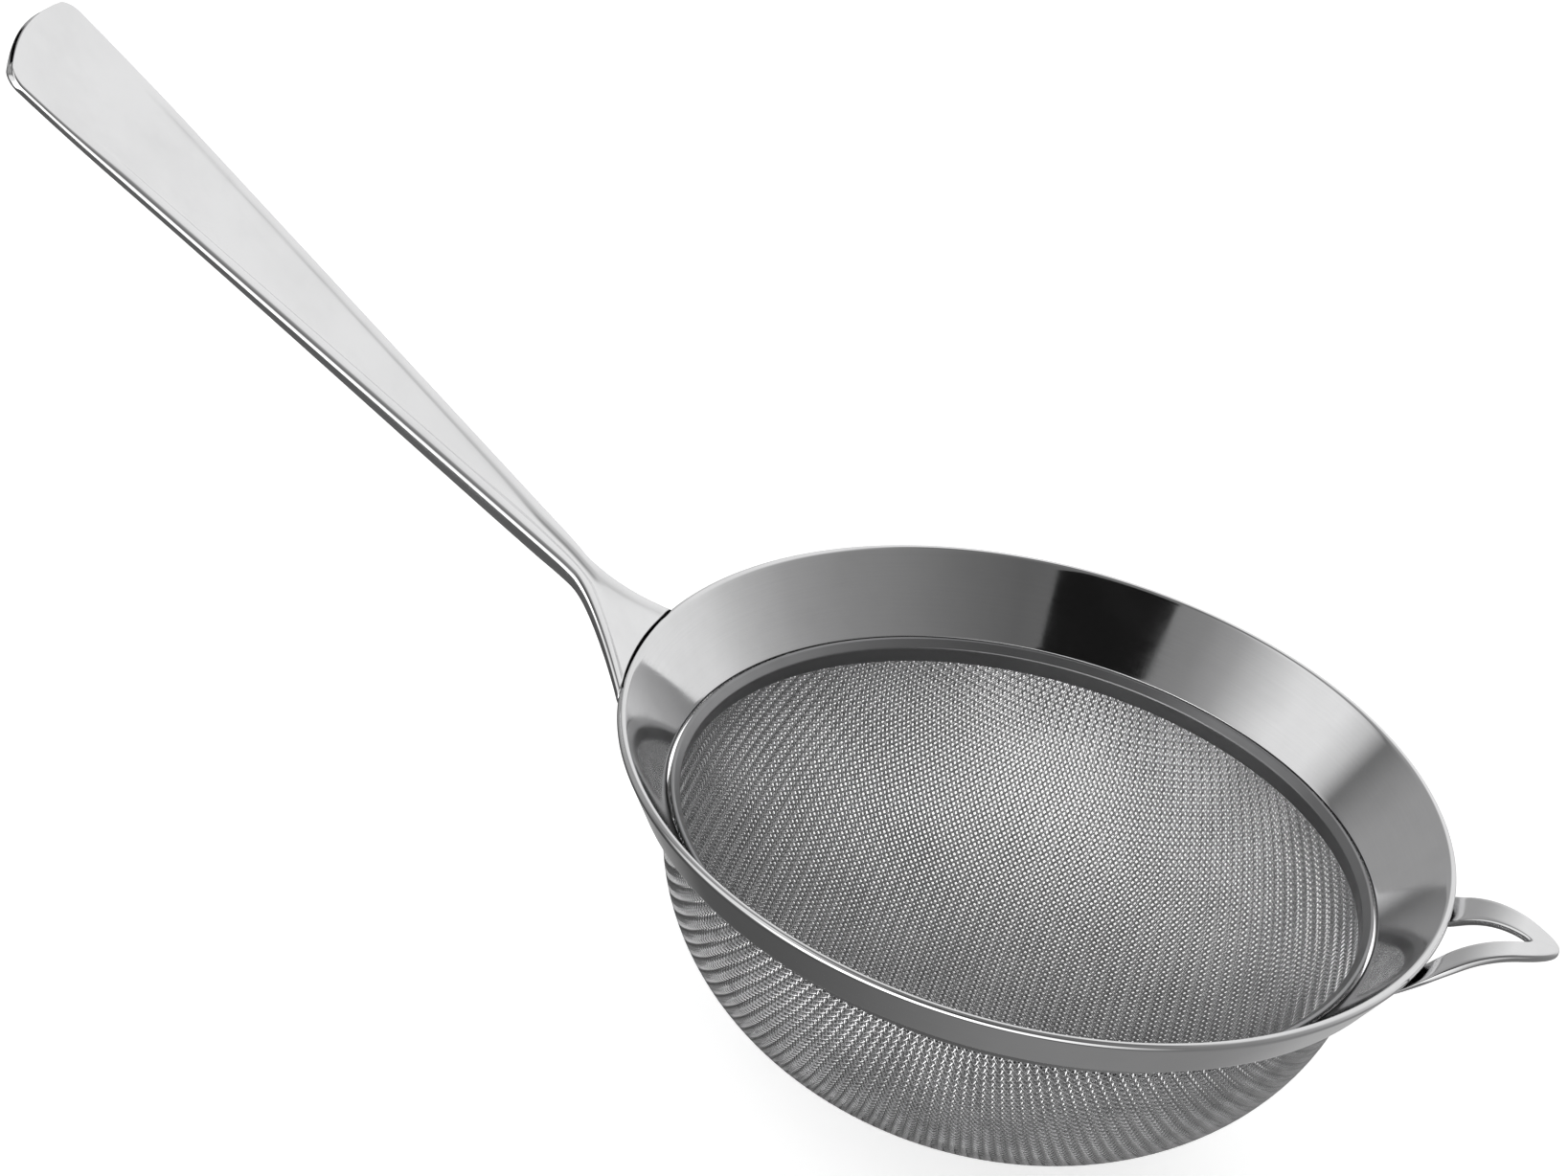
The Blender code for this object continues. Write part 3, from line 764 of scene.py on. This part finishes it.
class HookShape:
    """A flat loop: two cubic curves bound its plan, and its top is flat, then an arc, then a slope."""

    def __init__(self, hook, rim):
        self.h = hook
        self.start = rim.lip_radius - 2.5 * rim.bead_radius
        self.tip = HOOK_HIGH.x
        self.slot = rim.lip_radius + hook.slot_reach
        self.rise = HOOK_HIGH.z

    def height(self, x):
        """Height of the top and its slope at each x."""
        h = self.h
        inward = self.tip - h.flat - x
        arc = h.bend * math.sin(h.slope)
        on_arc = np.clip(inward, 0.0, arc)
        z = self.rise - h.bend + np.sqrt(h.bend**2 - on_arc**2)
        z -= np.maximum(inward - arc, 0.0) * math.tan(h.slope)
        return z, np.arcsin(on_arc / h.bend)

    def edge(self, tip, half, fullness, t):
        """Cubic curve from inside the rim (t = 0) to the tip's centre (t = 1).

        Its control points lie at the start, 0.38 of the way out and twice at the tip. Their half widths are
        1.12, 0.56 and the fullness times the plan's, then 0.
        """
        span = tip - self.start
        x = (self.start, self.start + span * 0.38, tip, tip)
        y = (half * 1.12, half * 0.56, half * fullness, 0.0)
        s = 1.0 - t
        weights = (s**3, 3.0 * s * s * t, 3.0 * s * t * t, t**3)
        return sum(w * k for w, k in zip(weights, x)), sum(w * k for w, k in zip(weights, y))


def hook_loop(shape):
    """The leg's section: shares of the way across for the flats, and quarter circles at both edges.

    Round an edge of radius e the inset is e (1 - cos a) and the depth e (1 - sin a).
    """
    edge = shape.h.edge
    a = np.linspace(0.0, 0.5 * np.pi, EDGE_STEPS)
    flats = np.linspace(0.0, 1.0, 10)[1:-1]
    inset = edge * (1.0 - np.cos(a))
    depth = edge * (1.0 - np.sin(a))
    inset_top = np.concatenate([inset, np.full(len(flats), edge), inset[::-1]])
    depth_top = np.concatenate([depth, np.zeros(len(flats)), depth[::-1]])
    between = np.concatenate([np.zeros(EDGE_STEPS), flats, np.ones(EDGE_STEPS)])
    face = np.ones(len(between))
    loop = [np.concatenate([k, k[::-1]]) for k in (inset_top, depth_top, between)]
    return (*loop, np.concatenate([face, -face]))


def hook_points(shape, t, loop):
    """Points of the hook's loop at t from -1, one leg's root, through 0, the tip, to 1, the other's root.

    Each lies a share s of the way from the plan's outer curve to the slot's, and its depth below the top
    surface, square to it.
    """
    inset, depth, between, face = loop
    side = np.where(t < 0.0, -1.0, 1.0)
    t = 1.0 - np.abs(t)
    outer = shape.edge(shape.tip, shape.h.half, OUTER_FULLNESS, t)
    inner = shape.edge(shape.slot, shape.h.slot_half, SLOT_FULLNESS, t)
    width = np.hypot(outer[0] - inner[0], outer[1] - inner[1])
    s = inset / width + between * (1.0 - 2.0 * inset / width)
    x = outer[0] + (inner[0] - outer[0]) * s
    y = outer[1] + (inner[1] - outer[1]) * s
    z, slope = shape.height(x)
    down = np.where(face > 0.0, depth, shape.h.thick - depth)
    return np.stack([x + down * np.sin(slope), y * side, z - down * np.cos(slope)], axis=-1)


def draw_in(leg):
    """Bends a leg's root in to the rim: row k of n moves by the first row's lack times (1 - k / n)^2."""
    x, y, z = leg[0].T
    r = np.hypot(x, y)
    short = np.maximum(r - hem_radius(bpy.context.scene.strainer_rim, z), 0.0)
    shift = -short / r * np.stack([x, y, 0.0 * z])
    left = (1.0 - np.arange(ROOT_ROWS) / ROOT_ROWS) ** 2
    leg[:ROOT_ROWS] += left[:, None, None] * shift.T


def hook_mesh(shape):
    """The section swept from one leg's root round the tip to the other's, with both ends on the rim."""
    loop = hook_loop(shape)
    count = len(loop[0])
    inside, outside = np.full(count, -1.0), np.full(count, -0.6)
    start = start_at_rim(lambda t: hook_points(shape, t, loop), inside, outside)
    one = start * (1.0 - np.linspace(0.0, 1.0, LEG_ROWS)[:, None])
    rows = np.vstack([one, -one[-2::-1]])
    points = hook_points(shape, rows, loop)
    for leg in (points, points[::-1]):
        draw_in(leg)
    return close_loft(points, 0)


# --- Steel -------------------------------------------------------------------------------------


class Board:
    """Adds nodes to one tree and links them. An input named i0, i1 and so on is found by its number."""

    def __init__(self, tree):
        self.tree = tree

    def add(self, kind, settings=(), **inputs):
        node = self.tree.nodes.new("ShaderNode" + kind)
        for name, value in dict(settings).items():
            setattr(node, name, value)
        for name, value in inputs.items():
            self.feed(node, name.replace("_", " "), value)
        return node

    def feed(self, node, name, value):
        key = int(name[1:]) if name[:1] == "i" and name[1:].isdigit() else name
        if isinstance(value, bpy.types.NodeSocket):
            self.tree.links.new(value, node.inputs[key])
        else:
            node.inputs[key].default_value = value

    def math(self, operation, a, b=0.0, clamp=False):
        node = self.add("Math", {"operation": operation, "use_clamp": clamp}, i0=a, i1=b)
        return node.outputs[0]

    def remap(self, value, low, high, to_low=0.0, to_high=1.0):
        node = self.add("MapRange", {"interpolation_type": "SMOOTHSTEP"}, Value=value)
        for name, number in zip(("From Min", "From Max", "To Min", "To Max"), (low, high, to_low, to_high)):
            self.feed(node, name, number)
        return node.outputs["Result"]

    def blend(self, factor, first, second):
        """The first colour where the factor is 0, the second where it is 1."""
        mix = self.add("Mix", {"data_type": "RGBA"}, i0=factor, i6=first, i7=second)
        return mix.outputs[2]

    def noise(self, vector, scale, detail=2.0, roughness=0.5):
        node = self.add("TexNoise", {}, Vector=vector, Scale=scale, Detail=detail, Roughness=roughness)
        return node.outputs[0]


def node_group(name, inputs, outputs):
    """An empty shader node group with its sockets, and its board, input node and output node."""
    tree = bpy.data.node_groups.new(name, "ShaderNodeTree")
    for label, kind, default in inputs:
        socket = tree.interface.new_socket(label, in_out="INPUT", socket_type=kind)
        if default is not None:
            socket.default_value = default
    for label, kind in outputs:
        tree.interface.new_socket(label, in_out="OUTPUT", socket_type=kind)
    board = Board(tree)
    return tree, board, tree.nodes.new("NodeGroupInput"), tree.nodes.new("NodeGroupOutput")


def handling_marks():
    """Smudges, faint stains and fine crossing scratches, the same for every polished piece.

    Smudges and stains are noise with its low half cut off. Scratches are the crests of noise stretched in
    three directions, kept only where a slow noise is high.
    """
    value = "NodeSocketFloat"
    tree, b, start, end = node_group(
        "Handling Marks",
        [("Vector", "NodeSocketVector", None), ("Size", value, 1.0), ("Scratches", value, 0.5)],
        [("Smudge", value), ("Scratch", value), ("Stain", value)],
    )
    vector = b.add("VectorMath", {"operation": "SCALE"}, Vector=start.outputs["Vector"])
    b.feed(vector, "Scale", start.outputs["Size"])
    place = vector.outputs[0]
    smudge = b.remap(b.noise(place, 90.0, 4.0, 0.55), 0.35, 0.72)
    stain = b.remap(b.noise(place, 240.0, 3.0, 0.6), 0.42, 0.78)
    scratches = None
    for turn, scale in ((0.35, (9000.0, 220.0, 600.0)), (1.9, (260.0, 8000.0, 500.0)),
                        (2.7, (5200.0, 180.0, 5200.0))):
        turned_place = b.add("VectorRotate", {"rotation_type": "EULER_XYZ"}, Vector=place)
        turned_place.inputs["Rotation"].default_value = (0.4 * turn, 0.7 * turn, turn)
        stretch = b.add("VectorMath", {"operation": "MULTIPLY"}, i0=turned_place.outputs[0], i1=scale)
        line = b.remap(b.noise(stretch.outputs[0], 1.0, 1.0), 0.66, 0.74)
        scratches = line if scratches is None else b.math("MAXIMUM", scratches, line)
    worn = b.math("MULTIPLY", scratches, b.remap(b.noise(place, 60.0, 2.0), 0.4, 0.65))
    b.feed(end, "Smudge", smudge)
    b.feed(end, "Scratch", b.math("MULTIPLY", worn, start.outputs["Scratches"]))
    b.feed(end, "Stain", stain)
    return tree


def lathe_lines():
    """Fine rings left by polishing a turned sheet: noise that varies across the radius and the height."""
    value = "NodeSocketFloat"
    tree, b, start, end = node_group(
        "Lathe Lines",
        [("Vector", "NodeSocketVector", None), ("Fineness", value, 6000.0)],
        [("Line", value), ("Swell", value)],
    )
    parts = b.add("SeparateXYZ", {}, Vector=start.outputs["Vector"])
    x, y, z = parts.outputs
    r = b.math("SQRT", b.math("ADD", b.math("MULTIPLY", x, x), b.math("MULTIPLY", y, y)))
    turn = b.math("ARCTAN2", y, x)
    place = b.add("CombineXYZ", {}, X=b.math("MULTIPLY", r, start.outputs["Fineness"]),
                  Y=b.math("MULTIPLY", turn, 3.0), Z=b.math("MULTIPLY", z, start.outputs["Fineness"]))
    line = b.noise(place.outputs[0], 1.0, 3.0, 0.6)
    slow = b.add("CombineXYZ", {}, X=b.math("MULTIPLY", r, 160.0), Y=b.math("MULTIPLY", x, 45.0),
                 Z=b.math("MULTIPLY", y, 45.0))
    b.feed(end, "Line", line)
    b.feed(end, "Swell", b.noise(slow.outputs[0], 1.0, 2.0))
    return tree


def linished_grain():
    """Straight grain along one direction, left by linishing a bar lengthwise.

    It is noise stretched along X after a turn about Y by the bar's slope.
    """
    value = "NodeSocketFloat"
    tree, b, start, end = node_group(
        "Linished Grain",
        [("Vector", "NodeSocketVector", None), ("Slope", value, 0.0)],
        [("Line", value), ("Swell", value)],
    )
    turned_place = b.add("VectorRotate", {"rotation_type": "Y_AXIS"}, Vector=start.outputs["Vector"])
    b.feed(turned_place, "Angle", start.outputs["Slope"])
    stretch = b.add("VectorMath", {"operation": "MULTIPLY"}, i0=turned_place.outputs[0],
                    i1=(70.0, 9000.0, 9000.0))
    b.feed(end, "Line", b.noise(stretch.outputs[0], 1.0, 3.0, 0.6))
    b.feed(end, "Swell", b.noise(start.outputs["Vector"], 110.0, 2.0))
    return tree


def shared_group(maker, name):
    """The node group of that name, made when it is first asked for."""
    return bpy.data.node_groups.get(name) or maker()


def steel(name, colour, low, high, grain, grain_bump, marks_size=1.0, scratches=0.5, wear=0.08):
    """Polished steel: colour, roughness and relief vary with its grain, smudges, stains and scratches.

    The grain is a node group and the value of its second input. Roughness runs from low to high.
    """
    material = bpy.data.materials.new(name)
    material.use_nodes = True
    b = Board(material.node_tree)
    shader = material.node_tree.nodes["Principled BSDF"]
    place = b.add("TexCoord").outputs["Object"]
    maker, group_name, socket, number = grain
    lines = b.add("Group", {"node_tree": shared_group(maker, group_name)}, Vector=place)
    b.feed(lines, socket, number)
    marks = b.add("Group", {"node_tree": shared_group(handling_marks, "Handling Marks")}, Vector=place)
    b.feed(marks, "Size", marks_size)
    b.feed(marks, "Scratches", scratches)
    line, swell = lines.outputs["Line"], lines.outputs["Swell"]
    smudge, scratch, stain = (marks.outputs[k] for k in ("Smudge", "Scratch", "Stain"))
    dull = tuple(c * (1.0 - wear) for c in colour)
    shade = b.math("ADD", b.math("MULTIPLY", smudge, 0.5), b.math("MULTIPLY", stain, 0.35))
    shade = b.math("ADD", shade, b.math("MULTIPLY", b.remap(line, 0.3, 0.7), 0.25), clamp=True)
    b.feed(shader, "Base Color", b.blend(shade, (*colour, 1.0), (*dull, 1.0)))
    rough = b.math("ADD", b.math("MULTIPLY", smudge, 0.55), b.math("MULTIPLY", line, 0.35))
    rough = b.math("ADD", rough, b.math("MULTIPLY", scratch, 0.5), clamp=True)
    b.feed(shader, "Roughness", b.remap(rough, 0.0, 1.0, low, high))
    height = b.math("SUBTRACT", b.math("MULTIPLY", line, grain_bump), b.math("MULTIPLY", scratch, 0.3))
    height = b.math("ADD", height, b.math("MULTIPLY", swell, 1.5))
    bump = b.add("Bump", {}, Strength=0.25, Distance=0.00001, Height=height)
    b.feed(shader, "Normal", bump.outputs[0])
    b.feed(shader, "Metallic", 1.0)
    return material


def dress(piece, material):
    piece.data.materials.clear()
    piece.data.materials.append(material)


# --- Stage -------------------------------------------------------------------------------------

STRIP_LEVEL = 3.2
CARD_POINTS = 48
CARD_POWER = 0.6  # 1 is an ellipse, less is squarer.
CARD_TILT = 0.35
FLOOR_GAP = 0.5 * MM
FLOOR_HALF = 6.0

# Brightness all round the horizon, as (degrees from the hook, level above it, level below it).
SURROUND = (
    (-180, 0.20, 0.10), (-174, 0.70, 0.10), (-166, 1.00, 0.12), (-152, 1.00, 0.12), (-141, 0.70, 0.12),
    (-131, 0.43, 0.12), (-120, 0.30, 0.12), (-90, 0.20, 0.12), (-60, 0.14, 0.14), (-44, 0.18, 0.18),
    (-24, 0.25, 0.22), (-6, 0.31, 0.26), (10, 0.41, 0.28), (25, 0.63, 0.30), (38, 0.88, 0.30),
    (56, 0.96, 0.32), (80, 0.95, 0.45), (100, 1.00, 0.45), (112, 0.75, 0.25), (122, 0.42, 0.10),
    (164, 0.39, 0.09), (172, 0.32, 0.09), (179, 0.20, 0.10),
)


def ramp(board, factor, column):
    """A colour ramp round the horizon, in the surround's levels."""
    node = board.add("ValToRGB", {}, Fac=factor)
    stops = node.color_ramp.elements
    while len(stops) > 1:
        stops.remove(stops[-1])
    for k, row in enumerate(SURROUND):
        place = (row[0] + 180.0) / 360.0
        stop = stops[0] if k == 0 else stops.new(place)
        stop.position = place
        stop.color = grey(row[column])
    return node.outputs[0]


def grey(level):
    return (level, level, level, 1.0)


def light_tent():
    """A pale tent of light: its brightness changes softly round the horizon, and the ground is darker.

    A ray's height z runs from -1, straight down, to 1, straight up. The table's two levels blend just below
    the horizon, straight down is darker still towards the handle, and straight up is dark. A bright strip
    stands along the front, strongest in the middle of its height. Only the camera sees plain white.
    """
    world = bpy.data.worlds.new("light_tent")
    world.use_nodes = True
    bpy.context.scene.world = world
    tree = world.node_tree
    board = Board(tree)
    parts = board.add("SeparateXYZ", {}, Vector=board.add("TexCoord").outputs["Generated"])
    x, y, z = parts.outputs
    turn = board.math("ARCTAN2", y, x)
    factor = board.math("ADD", board.math("DIVIDE", turn, 2.0 * math.pi), 0.5)
    above, below = ramp(board, factor, 1), ramp(board, factor, 2)
    seen = board.blend(board.remap(z, -0.40, 0.0), below, above)
    straight_down = board.remap(x, -0.5, 0.2, 0.08, 0.27)
    seen = board.blend(board.remap(z, -0.92, -0.70), straight_down, seen)
    seen = board.blend(board.remap(z, 0.84, 0.93), seen, grey(0.20))
    strip = board.math("MULTIPLY", board.remap(z, -0.42, -0.34), board.remap(z, 0.38, 0.50, 1.0, 0.0))
    strip = board.math("MULTIPLY", strip, board.remap(y, -0.85, -0.45, 1.0, 0.0))
    strip = board.math("MULTIPLY", strip, board.remap(x, -0.95, -0.55, 0.5, 1.0))
    strip = board.math("MULTIPLY", strip, board.remap(x, -0.5, 0.7, 0.9, 0.35))
    seen = board.blend(strip, seen, grey(STRIP_LEVEL))
    seen = board.blend(board.add("LightPath").outputs["Is Camera Ray"], seen, grey(1.0))
    board.feed(tree.nodes["Background"], "Color", seen)
    board.feed(tree.nodes["Background"], "Strength", 1.0)


def plain_material(name, colour, emission=0.0):
    """A matt material without gloss, which may also glow in its own colour."""
    material = bpy.data.materials.new(name)
    material.use_nodes = True
    shader = material.node_tree.nodes["Principled BSDF"]
    shader.inputs["Base Color"].default_value = (*colour, 1.0)
    shader.inputs["Roughness"].default_value = 1.0
    shader.inputs["Specular IOR Level"].default_value = 0.0
    shader.inputs["Emission Color"].default_value = (*colour, 1.0)
    shader.inputs["Emission Strength"].default_value = emission
    return material


def floor_material():
    """Pale matt floor. Mirrors look through it to the tent's own darker ground."""
    material = plain_material("pale_floor", (0.93, 0.93, 0.93), 0.6)
    tree = material.node_tree
    board = Board(tree)
    clear = board.add("BsdfTransparent")
    mix = board.add("MixShader", {}, i0=board.add("LightPath").outputs["Is Glossy Ray"],
                    i1=tree.nodes["Principled BSDF"].outputs[0], i2=clear.outputs[0])
    board.feed(tree.nodes["Material Output"], "Surface", mix.outputs[0])
    return material


def add_stage_mesh(name, points, faces, material):
    mesh = bpy.data.meshes.new(name)
    mesh.from_pydata(points, [], faces)
    mesh.materials.append(material)
    obj = bpy.data.objects.new(name, mesh)
    bpy.context.scene.collection.objects.link(obj)
    return obj


def aim(azimuth, elevation, roll=0.0):
    """Right, up and back directions of something that looks at the origin from that direction.

    Back is (cos azimuth cos elevation, sin azimuth cos elevation, sin elevation). Right is level, and roll
    turns right and up about back.
    """
    back = np.array([math.cos(azimuth) * math.cos(elevation), math.sin(azimuth) * math.cos(elevation),
                     math.sin(elevation)])
    level = unit(np.cross(-back, (0.0, 0.0, 1.0)))
    top = np.cross(level, -back)
    right = math.cos(roll) * level + math.sin(roll) * top
    up = -math.sin(roll) * level + math.cos(roll) * top
    return right, up, back


def place_at(obj, right, up, back, location):
    """Turns an object so that its X, Y and Z point right, up and back, and moves it there."""
    obj.rotation_mode = "QUATERNION"
    rotation = np.eye(4)
    rotation[:3, 0], rotation[:3, 1], rotation[:3, 2], rotation[:3, 3] = right, up, back, location
    obj.matrix_world = Matrix(rotation.tolist())


def dark_card(name, azimuth, elevation, half_wide, half_high, distance):
    """A dark card facing the object, which only reflections show.

    At an angle a round it, its edge is the half width times |cos a|^p to the side, with cos a's sign, and
    the half height times |sin a|^p up, with sin a's sign, less the tilt times its distance to the side.
    """
    right, up, back = aim(math.radians(azimuth), math.radians(elevation))
    a = np.linspace(0.0, 2.0 * np.pi, CARD_POINTS, endpoint=False)
    c, s = np.cos(a), np.sin(a)
    wide = half_wide * np.sign(c) * np.abs(c) ** CARD_POWER
    high = half_high * np.sign(s) * np.abs(s) ** CARD_POWER - CARD_TILT * wide
    points = back * distance + wide[:, None] * right + high[:, None] * up
    black = plain_material(name, (0.01, 0.01, 0.01))
    card = add_stage_mesh(name, points.tolist(), [list(range(CARD_POINTS))], black)
    card.visible_camera = False
    card.visible_diffuse = False
    card.visible_shadow = False


def soft_light(name, azimuth, elevation, distance, size, power):
    """A round lamp facing the object, which no reflection shows."""
    light = bpy.data.lights.new(name, "AREA")
    light.shape = "DISK"
    light.size = size
    light.energy = power
    obj = bpy.data.objects.new(name, light)
    bpy.context.scene.collection.objects.link(obj)
    right, up, back = aim(math.radians(azimuth), math.radians(elevation))
    place_at(obj, right, up, back, back * distance)
    obj.visible_glossy = False
    obj.visible_camera = False


# --- Operators ---------------------------------------------------------------------------------

LATHE = (lathe_lines, "Lathe Lines", "Fineness")
LINISH = (linished_grain, "Linished Grain", "Slope")


class STRAINER_OT_rim(bpy.types.Operator):
    """Make the spun rim: a funnel, its rolled lip, the hem folded back outside and the collar"""

    bl_idname = "strainer.rim"
    bl_label = "Make Rim"
    bl_options = {"REGISTER", "UNDO"}

    def execute(self, context):
        scene = context.scene
        outline = divide_edges(rim_outline(scene.strainer_rim), longest=0.3 * MM)
        piece = add_piece("rim", "rim_flange", *turned(outline))
        colour = tuple(scene.strainer_finish.mirror)
        finish = steel("mirror_steel", colour, low=0.045, high=0.15, grain=(*LATHE, 7000.0), grain_bump=0.15)
        dress(piece, finish)
        return {"FINISHED"}


class STRAINER_OT_ring(bpy.types.Operator):
    """Make the ring that clamps the cloth's edge inside the rim's collar"""

    bl_idname = "strainer.ring"
    bl_label = "Make Clamp Ring"
    bl_options = {"REGISTER", "UNDO"}

    def execute(self, context):
        scene = context.scene
        outline = divide_edges(ring_outline(scene.strainer_rim), longest=0.12 * MM)
        piece = add_piece("ring", "clamp_ring", *turned(outline))
        colour = tuple(scene.strainer_finish.ring)
        # Dark ring colour: painted shade under the funnel's foot. The higher roughness is the ring's own
        # duller finish.
        finish = steel("ring_steel", colour, low=0.28, high=0.46, grain=(*LATHE, 9000.0), grain_bump=0.4)
        dress(piece, finish)
        return {"FINISHED"}


class STRAINER_OT_cloth(bpy.types.Operator):
    """Weave the bowl's wire cloth, wire by wire, draped over the bowl's shape"""

    bl_idname = "strainer.cloth"
    bl_label = "Weave Bowl"
    bl_options = {"REGISTER", "UNDO"}

    def execute(self, context):
        scene = context.scene
        cloth = scene.strainer_cloth
        colour = tuple(scene.strainer_finish.wire)
        finish = steel(
            "wire_steel", colour, low=0.12, high=0.26, grain=(*LATHE, 5000.0), grain_bump=0.3,
            marks_size=2.0, scratches=0.3, wear=0.25,
        )
        for name, points, faces in weave(BowlShape(cloth), cloth):
            dress(add_piece(name, "mesh_bowl", points, faces), finish)
        return {"FINISHED"}


class STRAINER_OT_handle(bpy.types.Operator):
    """Make the tapering handle with raised borders, a narrow neck and a flared root"""

    bl_idname = "strainer.handle"
    bl_label = "Make Handle"
    bl_options = {"REGISTER", "UNDO"}

    def execute(self, context):
        scene = context.scene
        settings = scene.strainer_handle
        shape = HandleShape(settings, scene.strainer_rim)
        piece = add_piece("handle_bar", "handle", *handle_mesh(shape, settings.edge))
        colour = tuple(scene.strainer_finish.handle)
        grain = (*LINISH, settings.lift)
        finish = steel(
            "handle_steel", colour, low=0.07, high=0.20, grain=grain, grain_bump=0.25, scratches=0.7
        )
        dress(piece, finish)
        return {"FINISHED"}


class STRAINER_OT_hook(bpy.types.Operator):
    """Make the stamped hook that rests on a cup's edge"""

    bl_idname = "strainer.hook"
    bl_label = "Make Rest Hook"
    bl_options = {"REGISTER", "UNDO"}

    def execute(self, context):
        scene = context.scene
        shape = HookShape(scene.strainer_hook, scene.strainer_rim)
        piece = add_piece("hook", "rest_hook", *hook_mesh(shape))
        colour = tuple(scene.strainer_finish.hook)
        finish = steel(
            "hook_steel", colour, low=0.08, high=0.22, grain=(*LINISH, 0.0), grain_bump=0.3,
            marks_size=1.3, scratches=0.7,
        )
        dress(piece, finish)
        return {"FINISHED"}


class STRAINER_OT_stage(bpy.types.Operator):
    """Set out the pale floor, the soft light and the camera"""

    bl_idname = "strainer.stage"
    bl_label = "Set Stage"
    bl_options = {"REGISTER", "UNDO"}

    def execute(self, context):
        scene = context.scene
        scene.view_settings.view_transform = "Standard"
        light_tent()
        ground = CAD_BOX[0].z - FLOOR_GAP
        corners = [(x * FLOOR_HALF, y * FLOOR_HALF, ground) for x, y in ((-1, -1), (1, -1), (1, 1), (-1, 1))]
        add_stage_mesh("floor", corners, [(0, 1, 2, 3)], floor_material())
        dark_card("front_card", azimuth=-88.0, elevation=48.0, half_wide=0.25, half_high=0.16, distance=1.0)
        soft_light("key_light", azimuth=60.0, elevation=55.0, distance=1.2, size=1.2, power=2.0)
        soft_light("fill_light", azimuth=-150.0, elevation=45.0, distance=1.4, size=1.4, power=2.0)
        settings = scene.strainer_stage
        data = bpy.data.cameras.new("camera")
        data.lens = settings.lens
        data.sensor_width = 36.0
        data.clip_start, data.clip_end = 0.01, 100.0
        camera = bpy.data.objects.new("camera", data)
        scene.collection.objects.link(camera)
        right, up, back = aim(settings.azimuth, settings.elevation, settings.roll)
        slide = settings.slide[0] * right + settings.slide[1] * up
        place_at(camera, right, up, back, back * settings.distance + slide)
        scene.camera = camera
        return {"FINISHED"}


OPERATORS = (
    STRAINER_OT_stage, STRAINER_OT_rim, STRAINER_OT_ring, STRAINER_OT_cloth, STRAINER_OT_handle,
    STRAINER_OT_hook,
)


class VIEW3D_PT_strainer(bpy.types.Panel):
    """Lists the strainer's settings and its operators"""

    bl_space_type = "VIEW_3D"
    bl_region_type = "UI"
    bl_category = "Strainer"
    bl_label = "Tea Strainer"

    def draw(self, context):
        for operator in OPERATORS:
            self.layout.operator(operator.bl_idname)
        for name, group in GROUPS.items():
            box = self.layout.box()
            box.label(text=group.__name__)
            for setting in group.__annotations__:
                box.prop(getattr(context.scene, name), setting)


CLASSES = (*GROUPS.values(), *OPERATORS, VIEW3D_PT_strainer)


def register():
    for cls in CLASSES:
        bpy.utils.register_class(cls)
    for name, group in GROUPS.items():
        setattr(bpy.types.Scene, name, bpy.props.PointerProperty(type=group))


def unregister():
    for name in GROUPS:
        delattr(bpy.types.Scene, name)
    for cls in reversed(CLASSES):
        bpy.utils.unregister_class(cls)


def main():
    register()
    bpy.ops.strainer.stage()
    bpy.ops.strainer.rim()
    bpy.ops.strainer.ring()
    bpy.ops.strainer.cloth()
    bpy.ops.strainer.handle()
    bpy.ops.strainer.hook()


if __name__ == "__main__":
    main()
